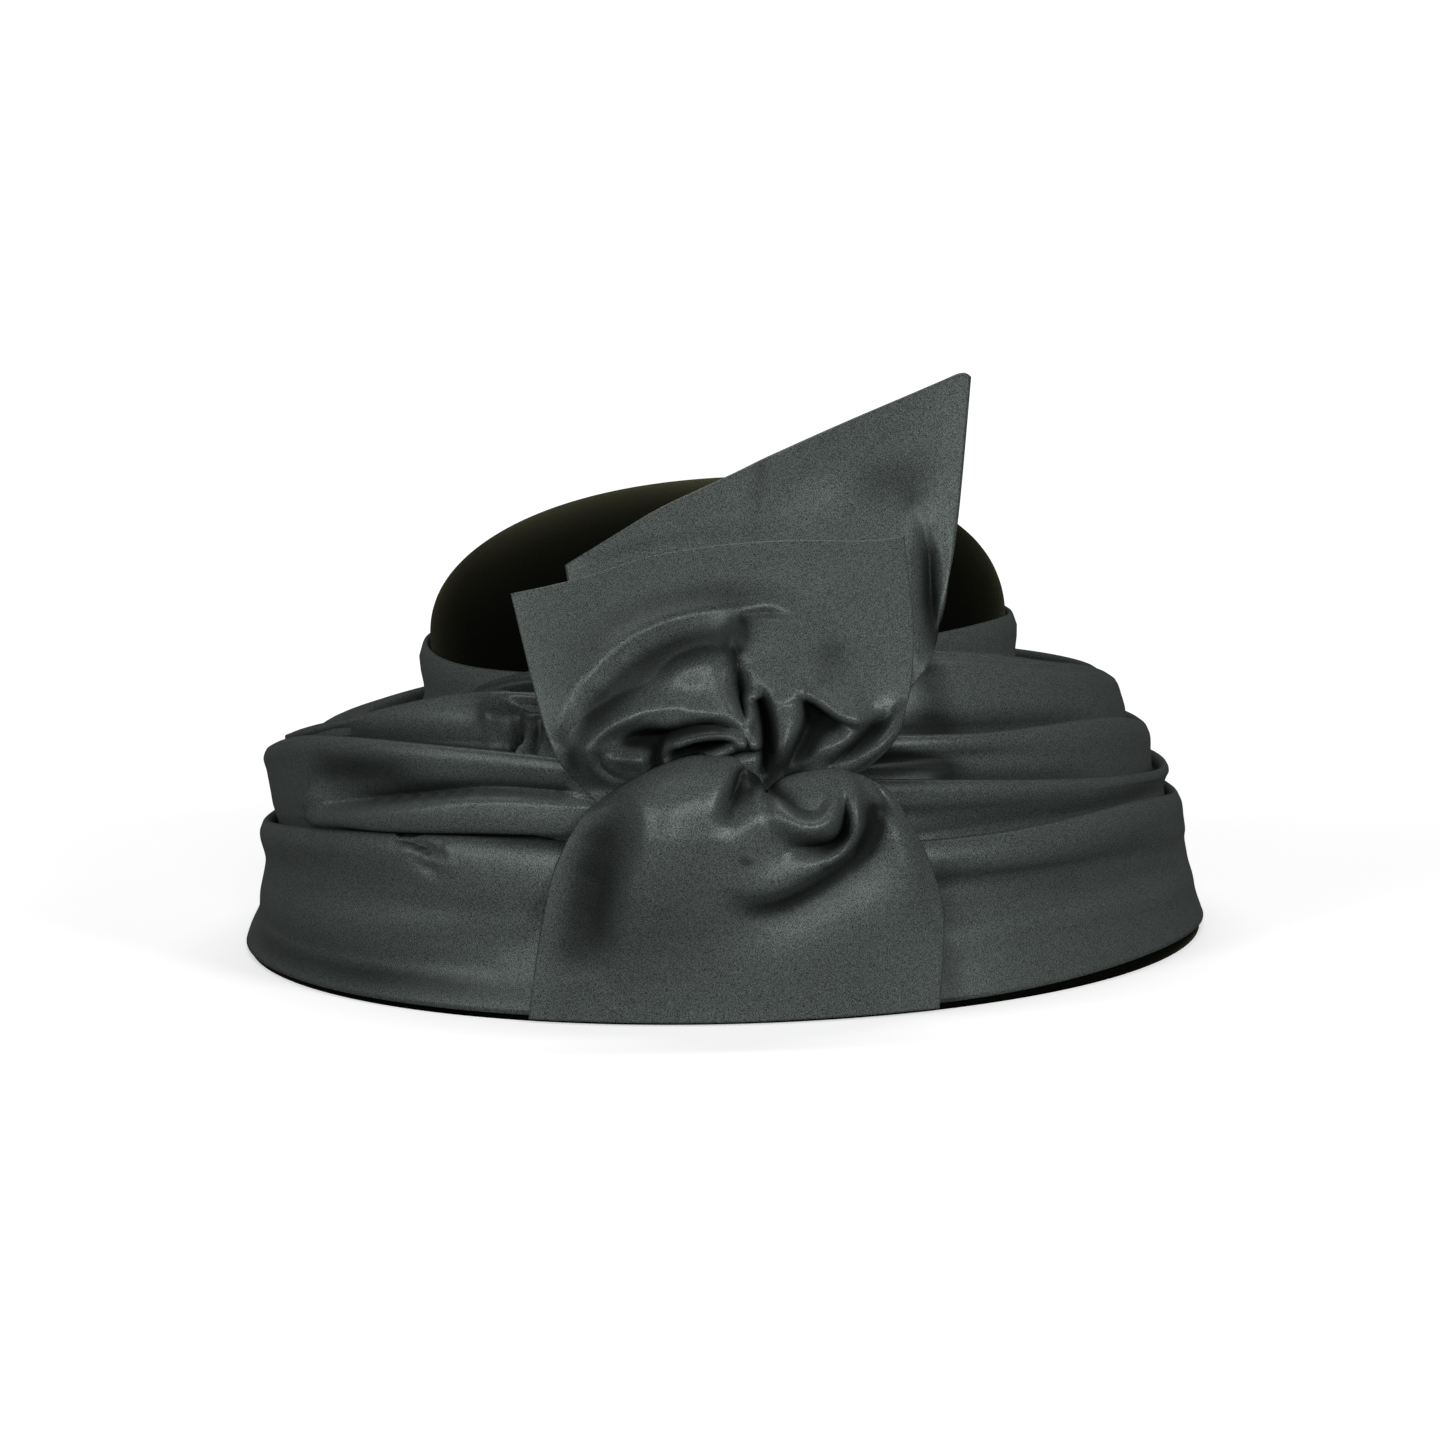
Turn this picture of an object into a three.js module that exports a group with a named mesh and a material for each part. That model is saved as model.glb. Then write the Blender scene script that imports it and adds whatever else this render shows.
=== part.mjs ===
// A draped capeline hat: a velvet dome crown on a velvet bell brim, swathed in pleated satin,
// with three satin tails fanned out of a knot at the front.
// Millimetres, +Z up, the front of the hat faces -Y and +X is the viewer's right.
import * as THREE from "three";

// Driving dimensions
const CROWN_HALF_WIDTH = 84.8; // oval of the crown at its side wall
const CROWN_HALF_DEPTH = 103;
const RIM_HALF_WIDTH = 141.5; // oval of the brim's edge
const RIM_HALF_DEPTH = 154;
const CROWN_BASE = 60; // the crown's lower edge, hidden under the swathe
const DOME_BASE = 90; // where the side wall turns into the dome
const DOME_HEIGHT = 42.5;
const DOME_POWER = 2.3; // superellipse power: 2 is an ellipse, more is squarer
const DOME_TILT = 0.037; // the dome rises towards +X, millimetres per millimetre
const VELVET = 2; // wall thickness of the velvet pieces
const SATIN = 1.2; // wall thickness of the swathe
const TAIL = 1.4; // wall thickness of the doubled satin tails
const LIP_WIDTH = 2.6; // across the rolled edge of a pleat, between the middles of its two layers
const POCKET_GAP = 2.2; // across the pocket behind a pleat, between the middles of its two layers
const SEAT_GAP = 0.4; // clearance between pieces that rest on each other
const AROUND = 48; // steps round the oval
const DOME_STEPS = 7;
const TAIL_ACROSS = 18;
const TAIL_ALONG = 12;

// Places round the hat, in degrees from the front, positive towards +X
const PLACES = { back: -180, left: -90, leftFront: -60, leftKnot: -30, front: 0, rightKnot: 30, rightFront: 60, right: 90 };

// Pleats of the swathe from the crown outwards. reach is the half width of the oval on which the
// pleat's rolled edge lies, height is that edge's height, pocket is how far the cloth dips behind it,
// and knees bend the face below: shares of the way out and of the way down to the next pocket.
const PLEATS = [
  {
    name: "band",
    pocket: 0,
    knees: [{ out: 0.06, down: 0.72 }],
    reach: { back: 86.7, left: 86.7, leftFront: 86.7, leftKnot: 86.7, front: 86.7, rightKnot: 86.7, rightFront: 86.7, right: 86.7 },
    height: { back: 90, left: 88, leftFront: 86.5, leftKnot: 87.5, front: 90, rightKnot: 93.5, rightFront: 94.4, right: 92.5 },
  },
  {
    name: "shelf",
    pocket: 5,
    knees: [{ out: 0.72, down: 0.42 }],
    reach: { back: 107, left: 106, leftFront: 106, leftKnot: 104, front: 104, rightKnot: 112, rightFront: 114, right: 112 },
    height: { back: 72, left: 70, leftFront: 75, leftKnot: 90, front: 92, rightKnot: 94, rightFront: 86, right: 77 },
  },
  {
    name: "shoulder",
    pocket: 6,
    knees: [{ out: 0.5, down: 0.6 }],
    reach: { back: 126, left: 129.5, leftFront: 125, leftKnot: 118, front: 121, rightKnot: 126, rightFront: 126, right: 125.6 },
    height: { back: 58, left: 62, leftFront: 74, leftKnot: 86, front: 78, rightKnot: 72, rightFront: 69, right: 60.5 },
  },
  {
    name: "upper_wall",
    pocket: 6,
    knees: [{ out: 0.55, down: 0.35 }],
    reach: { back: 131, left: 134.2, leftFront: 133.6, leftKnot: 132.6, front: 131, rightKnot: 130.5, rightFront: 131, right: 132 },
    height: { back: 47, left: 56, leftFront: 69.5, leftKnot: 71.7, front: 66, rightKnot: 60, rightFront: 52.7, right: 47 },
  },
  {
    name: "lower_wall",
    pocket: 9,
    knees: [{ out: -0.2, down: 0.33 }, { out: 0.42, down: 0.7 }],
    reach: { back: 135.2, left: 135.6, leftFront: 136, leftKnot: 136, front: 136, rightKnot: 135.2, rightFront: 135, right: 134.8 },
    height: { back: 37, left: 36.5, leftFront: 43.5, leftKnot: 48, front: 47, rightKnot: 45, rightFront: 45.3, right: 39.5 },
  },
];
const HEM = {
  reach: 141.2,
  height: { back: 1.2, left: 1.2, leftFront: 1.1, leftKnot: 1.2, front: 1.2, rightKnot: 1.6, rightFront: 3.2, right: 2.2 },
};

// The brim's upper side, from the headline out to the edge that the hat rests on.
const BRIM = [
  { reach: 85.4, height: 66 },
  { reach: 90, height: 62.5 },
  { reach: 105, height: 58.5 },
  { reach: 116, height: 52 },
  { reach: 123.5, height: 43 },
  { reach: 128.4, height: 26 },
  { reach: 136.2, height: 9 },
  { reach: 140.2, height: 1.5 },
  { reach: 140.4, height: 0 },
];

// Tails, seen from the front: each outline is four edges of [x, z] points, root and end from left to
// right, left and right from the root outwards. Folds are soft ridges, or valleys if the height is
// negative, along a path of [x, z] points, with a height at the path's start and end.
const LOWER_TAIL = {
  name: "lower_tail",
  root: [[-53.2, 1], [-34, 1], [0.8, 0.9], [22, 1], [57.1, 1]],
  end: [[-32.5, 59.9], [-20.1, 67.7], [-9.3, 71.8], [-2.4, 72.2], [4.7, 71.2], [9, 66.5], [11.8, 61.8], [16.7, 66.4], [24, 68.3], [32, 68.2], [40.7, 63.6], [45.9, 58.6]],
  left: [[-53.2, 1], [-50, 21], [-45.3, 40.8], [-38.1, 54.5], [-32.5, 59.9]],
  right: [[57.1, 1], [58.5, 17], [58.3, 29.5], [53.5, 44.4], [45.9, 58.6]],
  folds: [
    { name: "left_crest", from: 3, to: 1, width: 9, path: [[-20, 66], [-19.8, 52], [-26, 30], [-26, 19]] },
    { name: "left_hollow", from: -4, to: -2, width: 8, path: [[-33, 52], [-37, 35], [-36, 20]] },
    { name: "twist_hollow", from: -5, to: -2, width: 5.5, path: [[40, 60], [43, 52.5], [37, 46], [27, 39], [15, 36], [3.5, 38]] },
    { name: "pinch", from: -9, to: -2, width: 5, path: [[11.8, 63], [3, 60], [0, 53]] },
  ],
};
const UPPER_TAIL = {
  name: "upper_tail",
  root: [[-33, 58.9], [-18, 61], [0, 62], [12, 60], [25, 63], [38, 67.1]],
  end: [[-55.6, 113.8], [-37.7, 117.6], [-19.5, 122.8], [-0.8, 125.4], [20.9, 126.3], [41.5, 125.5], [51, 126.2]],
  left: [[-33, 58.9], [-41.3, 69], [-45.4, 76.6], [-50.5, 93.9], [-55.6, 113.8]],
  right: [[38, 67.1], [46.4, 75.5], [50.9, 87.1], [52.5, 102.9], [51, 126.2]],
  folds: [
    { name: "outer_ridge", from: 2, to: 2.5, width: 6, path: [[-44, 79.7], [-35.5, 93.5], [-20, 104.9], [4, 108], [18, 108.4]] },
    { name: "inner_ridge", from: 3, to: 3, width: 5, path: [[-35.4, 72.8], [-29.6, 80.8], [-16, 84], [2.3, 80], [7.8, 86]] },
    { name: "pinch", from: -2, to: -6, width: 4.5, path: [[10.8, 88], [13.2, 78], [12.2, 69]] },
    { name: "right_ridge", from: 3, to: 1.5, width: 5, path: [[19, 83], [30, 82.7], [40, 81]] },
  ],
};
const TALL_TAIL = {
  name: "tall_tail",
  root: [[-12, 61], [8, 62], [28, 63]],
  end: [[-41, 120.3], [-28.6, 127.5], [-15.4, 134.9], [0, 141.5], [29.1, 153.8], [61.3, 166.1], [68.6, 168.6], [71.2, 167.4]],
  left: [[-12, 61], [-26, 82], [-37, 102], [-41, 120.3]],
  right: [[28, 63], [49, 84], [57.4, 94.1], [61.9, 109.4], [66.2, 131], [71.2, 167.4]],
  folds: [
    { name: "right_hollow", from: -3, to: -3, width: 6, path: [[54, 128], [55.5, 112], [55, 97]] },
    { name: "soft_hollow", from: -1.5, to: -1, width: 8, path: [[13, 147], [9, 130]] },
  ],
};
const KNOT_PROUD = 10; // how far the lower tail bulges out below the knot
const LOWER_ROLL = 11; // how far the lower tail's gathered edge rolls back into the knot
const ROLL_SHARE = 0.22; // the share of its length over which it rolls
const KNOT_HEIGHT = 62;
const UPPER_STAND = 160; // distance of the upper tail in front of the hat's middle, at the knot
const UPPER_LEAN = 0.6; // how much each tail leans back over the crown, per millimetre of height
const UPPER_CLEAR = 76; // height above which the upper tail is free of the lower one
const TALL_STAND = 148.5;
const TALL_LEAN = 0.5;
const TALL_CLEAR = 84;
const SIDE_CURL = 6; // how far the upright tails' side edges bend back

const MATERIALS = {
  velvet: new THREE.MeshStandardMaterial({ color: 0x0a0b09, roughness: 0.95, metalness: 0 }),
  satin: new THREE.MeshStandardMaterial({ color: 0x414645, roughness: 0.42, metalness: 0 }),
};

// Half depth of the oval whose half width is reach
function depthOf(reach) {
  const share = (reach - CROWN_HALF_WIDTH) / (RIM_HALF_WIDTH - CROWN_HALF_WIDTH);
  return CROWN_HALF_DEPTH + share * (RIM_HALF_DEPTH - CROWN_HALF_DEPTH);
}

// How far in front of the hat's middle the oval of that reach lies, at sideways distance x
function ovalFront(reach, x) {
  return depthOf(reach) * Math.sqrt(Math.max(0, 1 - (x / reach) ** 2));
}

function smoothstep(low, high, value) {
  const t = Math.min(1, Math.max(0, (value - low) / (high - low)));
  return t * t * (3 - 2 * t);
}

// A value given at the named places, read smoothly at any angle round the hat
function valueAt(row, angle) {
  const names = Object.keys(PLACES);
  const count = names.length;
  const place = (i) => PLACES[names[(i + count) % count]] + 360 * Math.floor(i / count);
  const value = (i) => row[names[(i + count) % count]];
  let i = 0;
  while (place(i + 1) <= angle) i++;
  const slope = (k) => (value(k + 1) - value(k - 1)) / (place(k + 1) - place(k - 1));
  const span = place(i + 1) - place(i);
  const t = (angle - place(i)) / span;
  return (
    value(i) * (1 + 2 * t) * (1 - t) ** 2 +
    value(i + 1) * t * t * (3 - 2 * t) +
    span * (slope(i) * t * (1 - t) ** 2 - slope(i + 1) * t * t * (1 - t))
  );
}

// The line that the swathe's cloth follows at one angle, from the crown's band down to the hem
function swatheLine(angle) {
  const edges = PLEATS.map((pleat) => ({
    ...pleat,
    reach: valueAt(pleat.reach, angle),
    height: valueAt(pleat.height, angle),
  }));
  const line = [];
  edges.forEach((edge, i) => {
    const next = edges[i + 1];
    if (i === 0) {
      line.push([edge.reach, edge.height]);
    } else {
      line.push([edge.reach - LIP_WIDTH, edge.height - LIP_WIDTH / 2]);
      line.push([edge.reach - LIP_WIDTH / 2, edge.height]);
      line.push([edge.reach, edge.height - LIP_WIDTH / 2]);
    }
    const foot = next
      ? [next.reach - LIP_WIDTH - POCKET_GAP, next.height - next.pocket]
      : [HEM.reach, valueAt(HEM.height, angle) + SATIN / 2];
    for (const knee of edge.knees)
      line.push([edge.reach + (foot[0] - edge.reach) * knee.out, edge.height + (foot[1] - edge.height) * knee.down]);
    line.push(foot);
    if (next) line.push([foot[0] + POCKET_GAP, foot[1]]);
  });
  return line;
}

// A line of [reach, height] points moved sideways by a distance, to the left of its direction
function offsetLine(line, distance) {
  return line.map((point, i) => {
    const before = line[Math.max(0, i - 1)];
    const after = line[Math.min(line.length - 1, i + 1)];
    const unit = (a, b) => new THREE.Vector2(b[0] - a[0], b[1] - a[1]).normalize();
    const come = i > 0 ? unit(before, point) : unit(point, after);
    const go = i < line.length - 1 ? unit(point, after) : come;
    const normal = new THREE.Vector2(-come.y - go.y, come.x + go.x).normalize();
    const miter = Math.max(0.6, normal.dot(new THREE.Vector2(-come.y, come.x)));
    return [point[0] + (normal.x * distance) / miter, point[1] + (normal.y * distance) / miter];
  });
}

function geometryOf(vertices, triangles) {
  const geometry = new THREE.BufferGeometry();
  geometry.setAttribute("position", new THREE.Float32BufferAttribute(vertices, 3));
  geometry.setIndex(triangles);
  geometry.computeVertexNormals();
  return geometry;
}

// A wall swept round the hat: loopAt gives its closed outline of [reach, height] points at an angle
function sweptWall(loopAt) {
  const vertices = [];
  const triangles = [];
  const size = loopAt(-180).length;
  for (let i = 0; i < AROUND; i++) {
    const angle = -180 + (360 * i) / AROUND;
    const turn = THREE.MathUtils.degToRad(angle);
    for (const [reach, height] of loopAt(angle))
      vertices.push(reach * Math.sin(turn), -depthOf(reach) * Math.cos(turn), height);
    for (let j = 0; j < size; j++) {
      const a = i * size + j;
      const b = i * size + ((j + 1) % size);
      const c = ((i + 1) % AROUND) * size + ((j + 1) % size);
      const d = ((i + 1) % AROUND) * size + j;
      triangles.push(a, b, c, a, c, d);
    }
  }
  return geometryOf(vertices, triangles);
}

function swatheGeometry() {
  return sweptWall((angle) => {
    const line = swatheLine(angle);
    return [...offsetLine(line, SATIN / 2), ...offsetLine(line, -SATIN / 2).reverse()];
  });
}

function brimGeometry() {
  const upper = BRIM.map(({ reach, height }) => [reach, height]);
  const lower = offsetLine(upper, -VELVET);
  lower[0] = [upper[0][0], upper[0][1] - 2 * VELVET];
  lower[lower.length - 1][1] = 0;
  const loop = [...upper, ...lower.reverse()];
  return sweptWall(() => loop);
}

// The crown is a lathe turned in the round, then stretched to its oval and tilted a little
function crownGeometry() {
  const dome = (halfWidth, height) => {
    const points = [];
    for (let i = 0; i <= DOME_STEPS; i++) {
      const rise = Math.sin((Math.PI / 2) * (i / DOME_STEPS));
      const width = i < DOME_STEPS ? halfWidth * (1 - rise ** DOME_POWER) ** (1 / DOME_POWER) : 0;
      points.push(new THREE.Vector2(width, DOME_BASE + height * rise));
    }
    return points;
  };
  const outer = [new THREE.Vector2(CROWN_HALF_WIDTH, CROWN_BASE), ...dome(CROWN_HALF_WIDTH, DOME_HEIGHT)];
  const innerHalfWidth = CROWN_HALF_WIDTH - VELVET;
  const inner = [new THREE.Vector2(innerHalfWidth, CROWN_BASE), ...dome(innerHalfWidth, DOME_HEIGHT - VELVET)];
  const geometry = new THREE.LatheGeometry([...inner.reverse(), ...outer], AROUND);
  geometry.rotateX(Math.PI / 2);
  geometry.scale(1, CROWN_HALF_DEPTH / CROWN_HALF_WIDTH, 1);
  const position = geometry.getAttribute("position");
  for (let i = 0; i < position.count; i++) {
    const lift = smoothstep(DOME_BASE - DOME_HEIGHT / 2, DOME_BASE + DOME_HEIGHT, position.getZ(i));
    position.setZ(i, position.getZ(i) + lift * DOME_TILT * position.getX(i));
  }
  return geometry;
}

const splineOf = (points) => new THREE.SplineCurve(points.map(([x, z]) => new THREE.Vector2(x, z)));

// A patch stretched between the four edges of a tail's outline: u runs across it, v from root to end
function patchOf(tail) {
  const [root, end, left, right] = [tail.root, tail.end, tail.left, tail.right].map(splineOf);
  const corner = (curve, t) => curve.getPointAt(t);
  return (u, v) => {
    const ruled = corner(root, u).multiplyScalar(1 - v).add(corner(end, u).multiplyScalar(v));
    ruled.add(corner(left, v).multiplyScalar(1 - u)).add(corner(right, v).multiplyScalar(u));
    ruled.sub(corner(root, 0).multiplyScalar((1 - u) * (1 - v))).sub(corner(root, 1).multiplyScalar(u * (1 - v)));
    return ruled.sub(corner(end, 0).multiplyScalar((1 - u) * v)).sub(corner(end, 1).multiplyScalar(u * v));
  };
}

// Height of a tail's folds at a place on it
function reliefOf(tail) {
  const SAMPLES = 24;
  const folds = tail.folds.map((fold) => ({ ...fold, points: splineOf(fold.path).getSpacedPoints(SAMPLES) }));
  return (place) => {
    let total = 0;
    for (const fold of folds) {
      const distances = fold.points.map((point) => point.distanceTo(place));
      const nearest = Math.min(...distances);
      const along = distances.indexOf(nearest) / SAMPLES;
      total += (fold.from + (fold.to - fold.from) * along) * Math.exp(-((nearest / fold.width) ** 2));
    }
    return total;
  };
}

// A closed sheet of even thickness about the surface that pointAt gives over u and v
function sheetGeometry(pointAt, thickness) {
  const columns = TAIL_ACROSS + 1;
  const rows = TAIL_ALONG + 1;
  const grid = [];
  for (let j = 0; j < rows; j++)
    for (let i = 0; i < columns; i++) grid.push(pointAt(i / TAIL_ACROSS, j / TAIL_ALONG));
  const at = (i, j) =>
    grid[Math.min(rows - 1, Math.max(0, j)) * columns + Math.min(columns - 1, Math.max(0, i))];
  const front = [];
  const rear = [];
  for (let j = 0; j < rows; j++)
    for (let i = 0; i < columns; i++) {
      const across = at(i + 1, j).clone().sub(at(i - 1, j));
      const along = at(i, j + 1).clone().sub(at(i, j - 1));
      const half = across.cross(along).setLength(thickness / 2);
      front.push(at(i, j).clone().add(half));
      rear.push(at(i, j).clone().sub(half));
    }
  const vertices = [...front, ...rear].flatMap((point) => point.toArray());
  const triangles = [];
  const quad = (a, b, c, d) => triangles.push(a, b, c, a, c, d);
  const index = (i, j, side) => side * front.length + j * columns + i;
  for (let j = 0; j < TAIL_ALONG; j++)
    for (let i = 0; i < TAIL_ACROSS; i++) {
      quad(index(i, j, 0), index(i + 1, j, 0), index(i + 1, j + 1, 0), index(i, j + 1, 0));
      quad(index(i, j, 1), index(i, j + 1, 1), index(i + 1, j + 1, 1), index(i + 1, j, 1));
    }
  for (let i = 0; i < TAIL_ACROSS; i++) {
    quad(index(i, 0, 1), index(i + 1, 0, 1), index(i + 1, 0, 0), index(i, 0, 0));
    quad(index(i, TAIL_ALONG, 0), index(i + 1, TAIL_ALONG, 0), index(i + 1, TAIL_ALONG, 1), index(i, TAIL_ALONG, 1));
  }
  for (let j = 0; j < TAIL_ALONG; j++) {
    quad(index(0, j, 0), index(0, j + 1, 0), index(0, j + 1, 1), index(0, j, 1));
    quad(index(TAIL_ACROSS, j, 1), index(TAIL_ACROSS, j + 1, 1), index(TAIL_ACROSS, j + 1, 0), index(TAIL_ACROSS, j, 0));
  }
  return geometryOf(vertices, triangles);
}

// A tail whose distance in front of the hat's middle is given by standAt(place, u, v)
function tailGeometry(tail, standAt) {
  const patch = patchOf(tail);
  const relief = reliefOf(tail);
  return sheetGeometry((u, v) => {
    const place = patch(u, v);
    const stand = standAt(place, u, v, relief(place));
    return new THREE.Vector3(place.x, -stand, place.y);
  }, TAIL);
}

// The lower tail lies on the front of the swathe, bulges out under the knot and rolls back into it
function lowerTailGeometry() {
  const seat = HEM.reach + SATIN / 2 + SEAT_GAP + TAIL / 2;
  return tailGeometry(LOWER_TAIL, (place, u, v, relief) => {
    const middle = 1 - Math.abs(2 * u - 1) ** 3;
    const bulge = KNOT_PROUD * smoothstep(0, KNOT_HEIGHT, place.y) * middle;
    const roll = Math.max(0, (v - 1 + ROLL_SHARE) / ROLL_SHARE);
    const back = LOWER_ROLL * (1 - Math.sqrt(1 - roll * roll)) * middle;
    return ovalFront(seat, place.x) + bulge - back + relief * middle * smoothstep(0, 25, place.y) * (1 - roll);
  });
}

// An upright tail leans back over the crown, and its root tucks in behind the tail in front of it
function uprightTailGeometry(tail, { stand, lean, clear, seat }) {
  return tailGeometry(tail, (place, u, v, relief) => {
    const free = smoothstep(KNOT_HEIGHT, clear, place.y);
    const leaning = stand - lean * (place.y - KNOT_HEIGHT) - free * SIDE_CURL * Math.abs(2 * u - 1) ** 4;
    return free * (leaning + relief) + (1 - free) * ovalFront(seat, place.x);
  });
}

function part(name, geometry, material) {
  const mesh = new THREE.Mesh(geometry, material);
  mesh.name = name;
  return mesh;
}

const hat = new THREE.Group();
const knotSeat = PLEATS[3].reach.front + SATIN / 2 + SEAT_GAP + TAIL / 2;
hat.add(part("crown", crownGeometry(), MATERIALS.velvet));
hat.add(part("brim", brimGeometry(), MATERIALS.velvet));
hat.add(part("swathe", swatheGeometry(), MATERIALS.satin));
const tallTail = uprightTailGeometry(TALL_TAIL, { stand: TALL_STAND, lean: TALL_LEAN, clear: TALL_CLEAR, seat: knotSeat });
hat.add(part(TALL_TAIL.name, tallTail, MATERIALS.satin));
const upperSeat = knotSeat + TAIL + SEAT_GAP;
const upperTail = uprightTailGeometry(UPPER_TAIL, { stand: UPPER_STAND, lean: UPPER_LEAN, clear: UPPER_CLEAR, seat: upperSeat });
hat.add(part(UPPER_TAIL.name, upperTail, MATERIALS.satin));
hat.add(part(LOWER_TAIL.name, lowerTailGeometry(), MATERIALS.satin));

// The origin is under the middle of the hat, on the surface that it rests on
const box = new THREE.Box3().setFromObject(hat);
const middle = box.getCenter(new THREE.Vector3());
hat.position.set(-middle.x, -middle.y, -box.min.z);

export default hat;
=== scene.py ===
# %% [markdown]
# # A draped capeline hat
# This lesson dresses the plain solids of a hat in cloth. The hat is a velvet dome on a velvet bell
# brim, wound round with one long strip of satin, and the strip's ends burst out of a knot at the
# front as three tails. Everything sits in the same frame as the solids: metres, +Z up, the front of
# the hat towards -Y. The solids' box is kept.

# %% Load the frame
import math
import bpy
import numpy as np
from mathutils import Matrix, Vector


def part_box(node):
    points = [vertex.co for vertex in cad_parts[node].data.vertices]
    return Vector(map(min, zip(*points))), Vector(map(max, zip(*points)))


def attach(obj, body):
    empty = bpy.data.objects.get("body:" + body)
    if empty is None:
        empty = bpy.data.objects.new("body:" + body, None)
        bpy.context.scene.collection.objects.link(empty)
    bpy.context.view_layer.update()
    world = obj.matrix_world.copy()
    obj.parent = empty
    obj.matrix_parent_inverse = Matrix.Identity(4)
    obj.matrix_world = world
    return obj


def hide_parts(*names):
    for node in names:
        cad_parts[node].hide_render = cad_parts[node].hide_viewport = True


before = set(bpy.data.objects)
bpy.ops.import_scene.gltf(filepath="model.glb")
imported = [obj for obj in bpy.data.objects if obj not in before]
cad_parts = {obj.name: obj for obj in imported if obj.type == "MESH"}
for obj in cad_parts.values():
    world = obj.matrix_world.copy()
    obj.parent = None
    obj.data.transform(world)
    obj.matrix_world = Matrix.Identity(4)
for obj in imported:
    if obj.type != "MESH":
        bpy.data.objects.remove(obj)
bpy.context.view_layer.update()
print("solids:", sorted(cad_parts))

# %% [markdown]
# ## The two ovals
# A head is longer than it is wide, so every level of the hat is an oval. Two of them come from the
# solids: the crown's side and the brim's edge. Any oval in between is named by its reach, which is
# its half width, and its half depth follows from the straight line between those two. The design
# numbers below are in millimetres, as a milliner would write them, and MM turns them into metres.
# An angle is 0 at the front and grows towards the viewer's right.

# %% Ovals of the hat
MM = 0.001
crown_low, crown_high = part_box("crown")
brim_low, brim_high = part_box("brim")
MIDDLE_X = (crown_low.x + crown_high.x) / 2 / MM
MIDDLE_Y = (crown_low.y + crown_high.y) / 2 / MM
CROWN_HALF_WIDTH = (crown_high.x - crown_low.x) / 2 / MM
CROWN_HALF_DEPTH = (crown_high.y - crown_low.y) / 2 / MM
RIM_HALF_WIDTH = (brim_high.x - brim_low.x) / 2 / MM
RIM_HALF_DEPTH = (brim_high.y - brim_low.y) / 2 / MM


def depth_of(reach):
    share = (reach - CROWN_HALF_WIDTH) / (RIM_HALF_WIDTH - CROWN_HALF_WIDTH)
    return CROWN_HALF_DEPTH + share * (RIM_HALF_DEPTH - CROWN_HALF_DEPTH)


def oval_front(reach, x):
    return depth_of(reach) * np.sqrt(np.clip(1 - (x / reach) ** 2, 0, None))


def on_hat(angles, reach, height):
    turn = np.radians(angles)
    x = reach * np.sin(turn) + MIDDLE_X
    y = -depth_of(reach) * np.cos(turn) + MIDDLE_Y
    return np.stack([x, y, np.broadcast_to(height, x.shape)], axis=-1) * MM


print(f"crown oval {CROWN_HALF_WIDTH:.1f} x {CROWN_HALF_DEPTH:.1f} mm")
print(f"rim oval {RIM_HALF_WIDTH:.1f} x {RIM_HALF_DEPTH:.1f} mm")

# %% [markdown]
# ## Smooth lines
# Every edge and fold of this hat is a line through a few points. A Bezier curve would need handles as
# well, so the line is a Catmull-Rom spline, which takes its bends from the points alone. It is then
# read at even distances.

# %% Smooth lines
STEPS_PER_BEND = 16


def smoothstep(low, high, value):
    t = np.clip((value - low) / (high - low), 0, 1)
    return t * t * (3 - 2 * t)


def smooth_line(points, count):
    fixed = np.asarray(points, float)
    padded = np.vstack([fixed[:1], fixed, fixed[-1:]])
    t = np.linspace(0, 1, STEPS_PER_BEND, endpoint=False)[:, None]
    bends = []
    for a, b, c, d in zip(padded, padded[1:], padded[2:], padded[3:]):
        squared = (2 * a - 5 * b + 4 * c - d) * t**2
        cubed = (3 * b - a - 3 * c + d) * t**3
        bends.append(0.5 * (2 * b + (c - a) * t + squared + cubed))
    fine = np.vstack(bends + [fixed[-1:]])
    length = np.concatenate([[0], np.cumsum(np.linalg.norm(np.diff(fine, axis=0), axis=1))])
    even = np.linspace(0, length[-1], count)
    return np.column_stack([np.interp(even, length, fine[:, k]) for k in range(fixed.shape[1])])


print("smooth lines are ready, steps per bend:", STEPS_PER_BEND)

# %% [markdown]
# ## Folds
# A simulation could drape the cloth, but the folds of this hat are pressed and sewn by hand. Each is
# therefore a row of a table: a path, the heights of the cloth spread evenly along it, and a width to
# the left and to the right of the path's direction. A row states them in this order: name, widths,
# heights, path. Heights and paths are written as plain text, like the points on a paper pattern, since
# brackets round every pair would hide the numbers. A height below zero makes a valley. Across the path
# a fold fades like a bell, or like a steep ramp where it is crisp, on both sides or on the left.
# The distance to the path is taken from the line between its samples: taken from the samples
# themselves, it would scallop the edge of a narrow fold.

# %% Folds
FOLD_SAMPLES = 48
SAMPLE_REACH = 0.6  # how far past its sample of the path a point may lie, in steps between samples


def numbers(text, between=None):
    return [float(word) for word in text.split(between)]


def pairs(text):
    return [numbers(pair, ",") for pair in text.split()]


def fold(name, width, height, path, crisp="none"):
    return dict(name=name, width=width, height=numbers(height), path=pairs(path), crisp=crisp)


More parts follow.
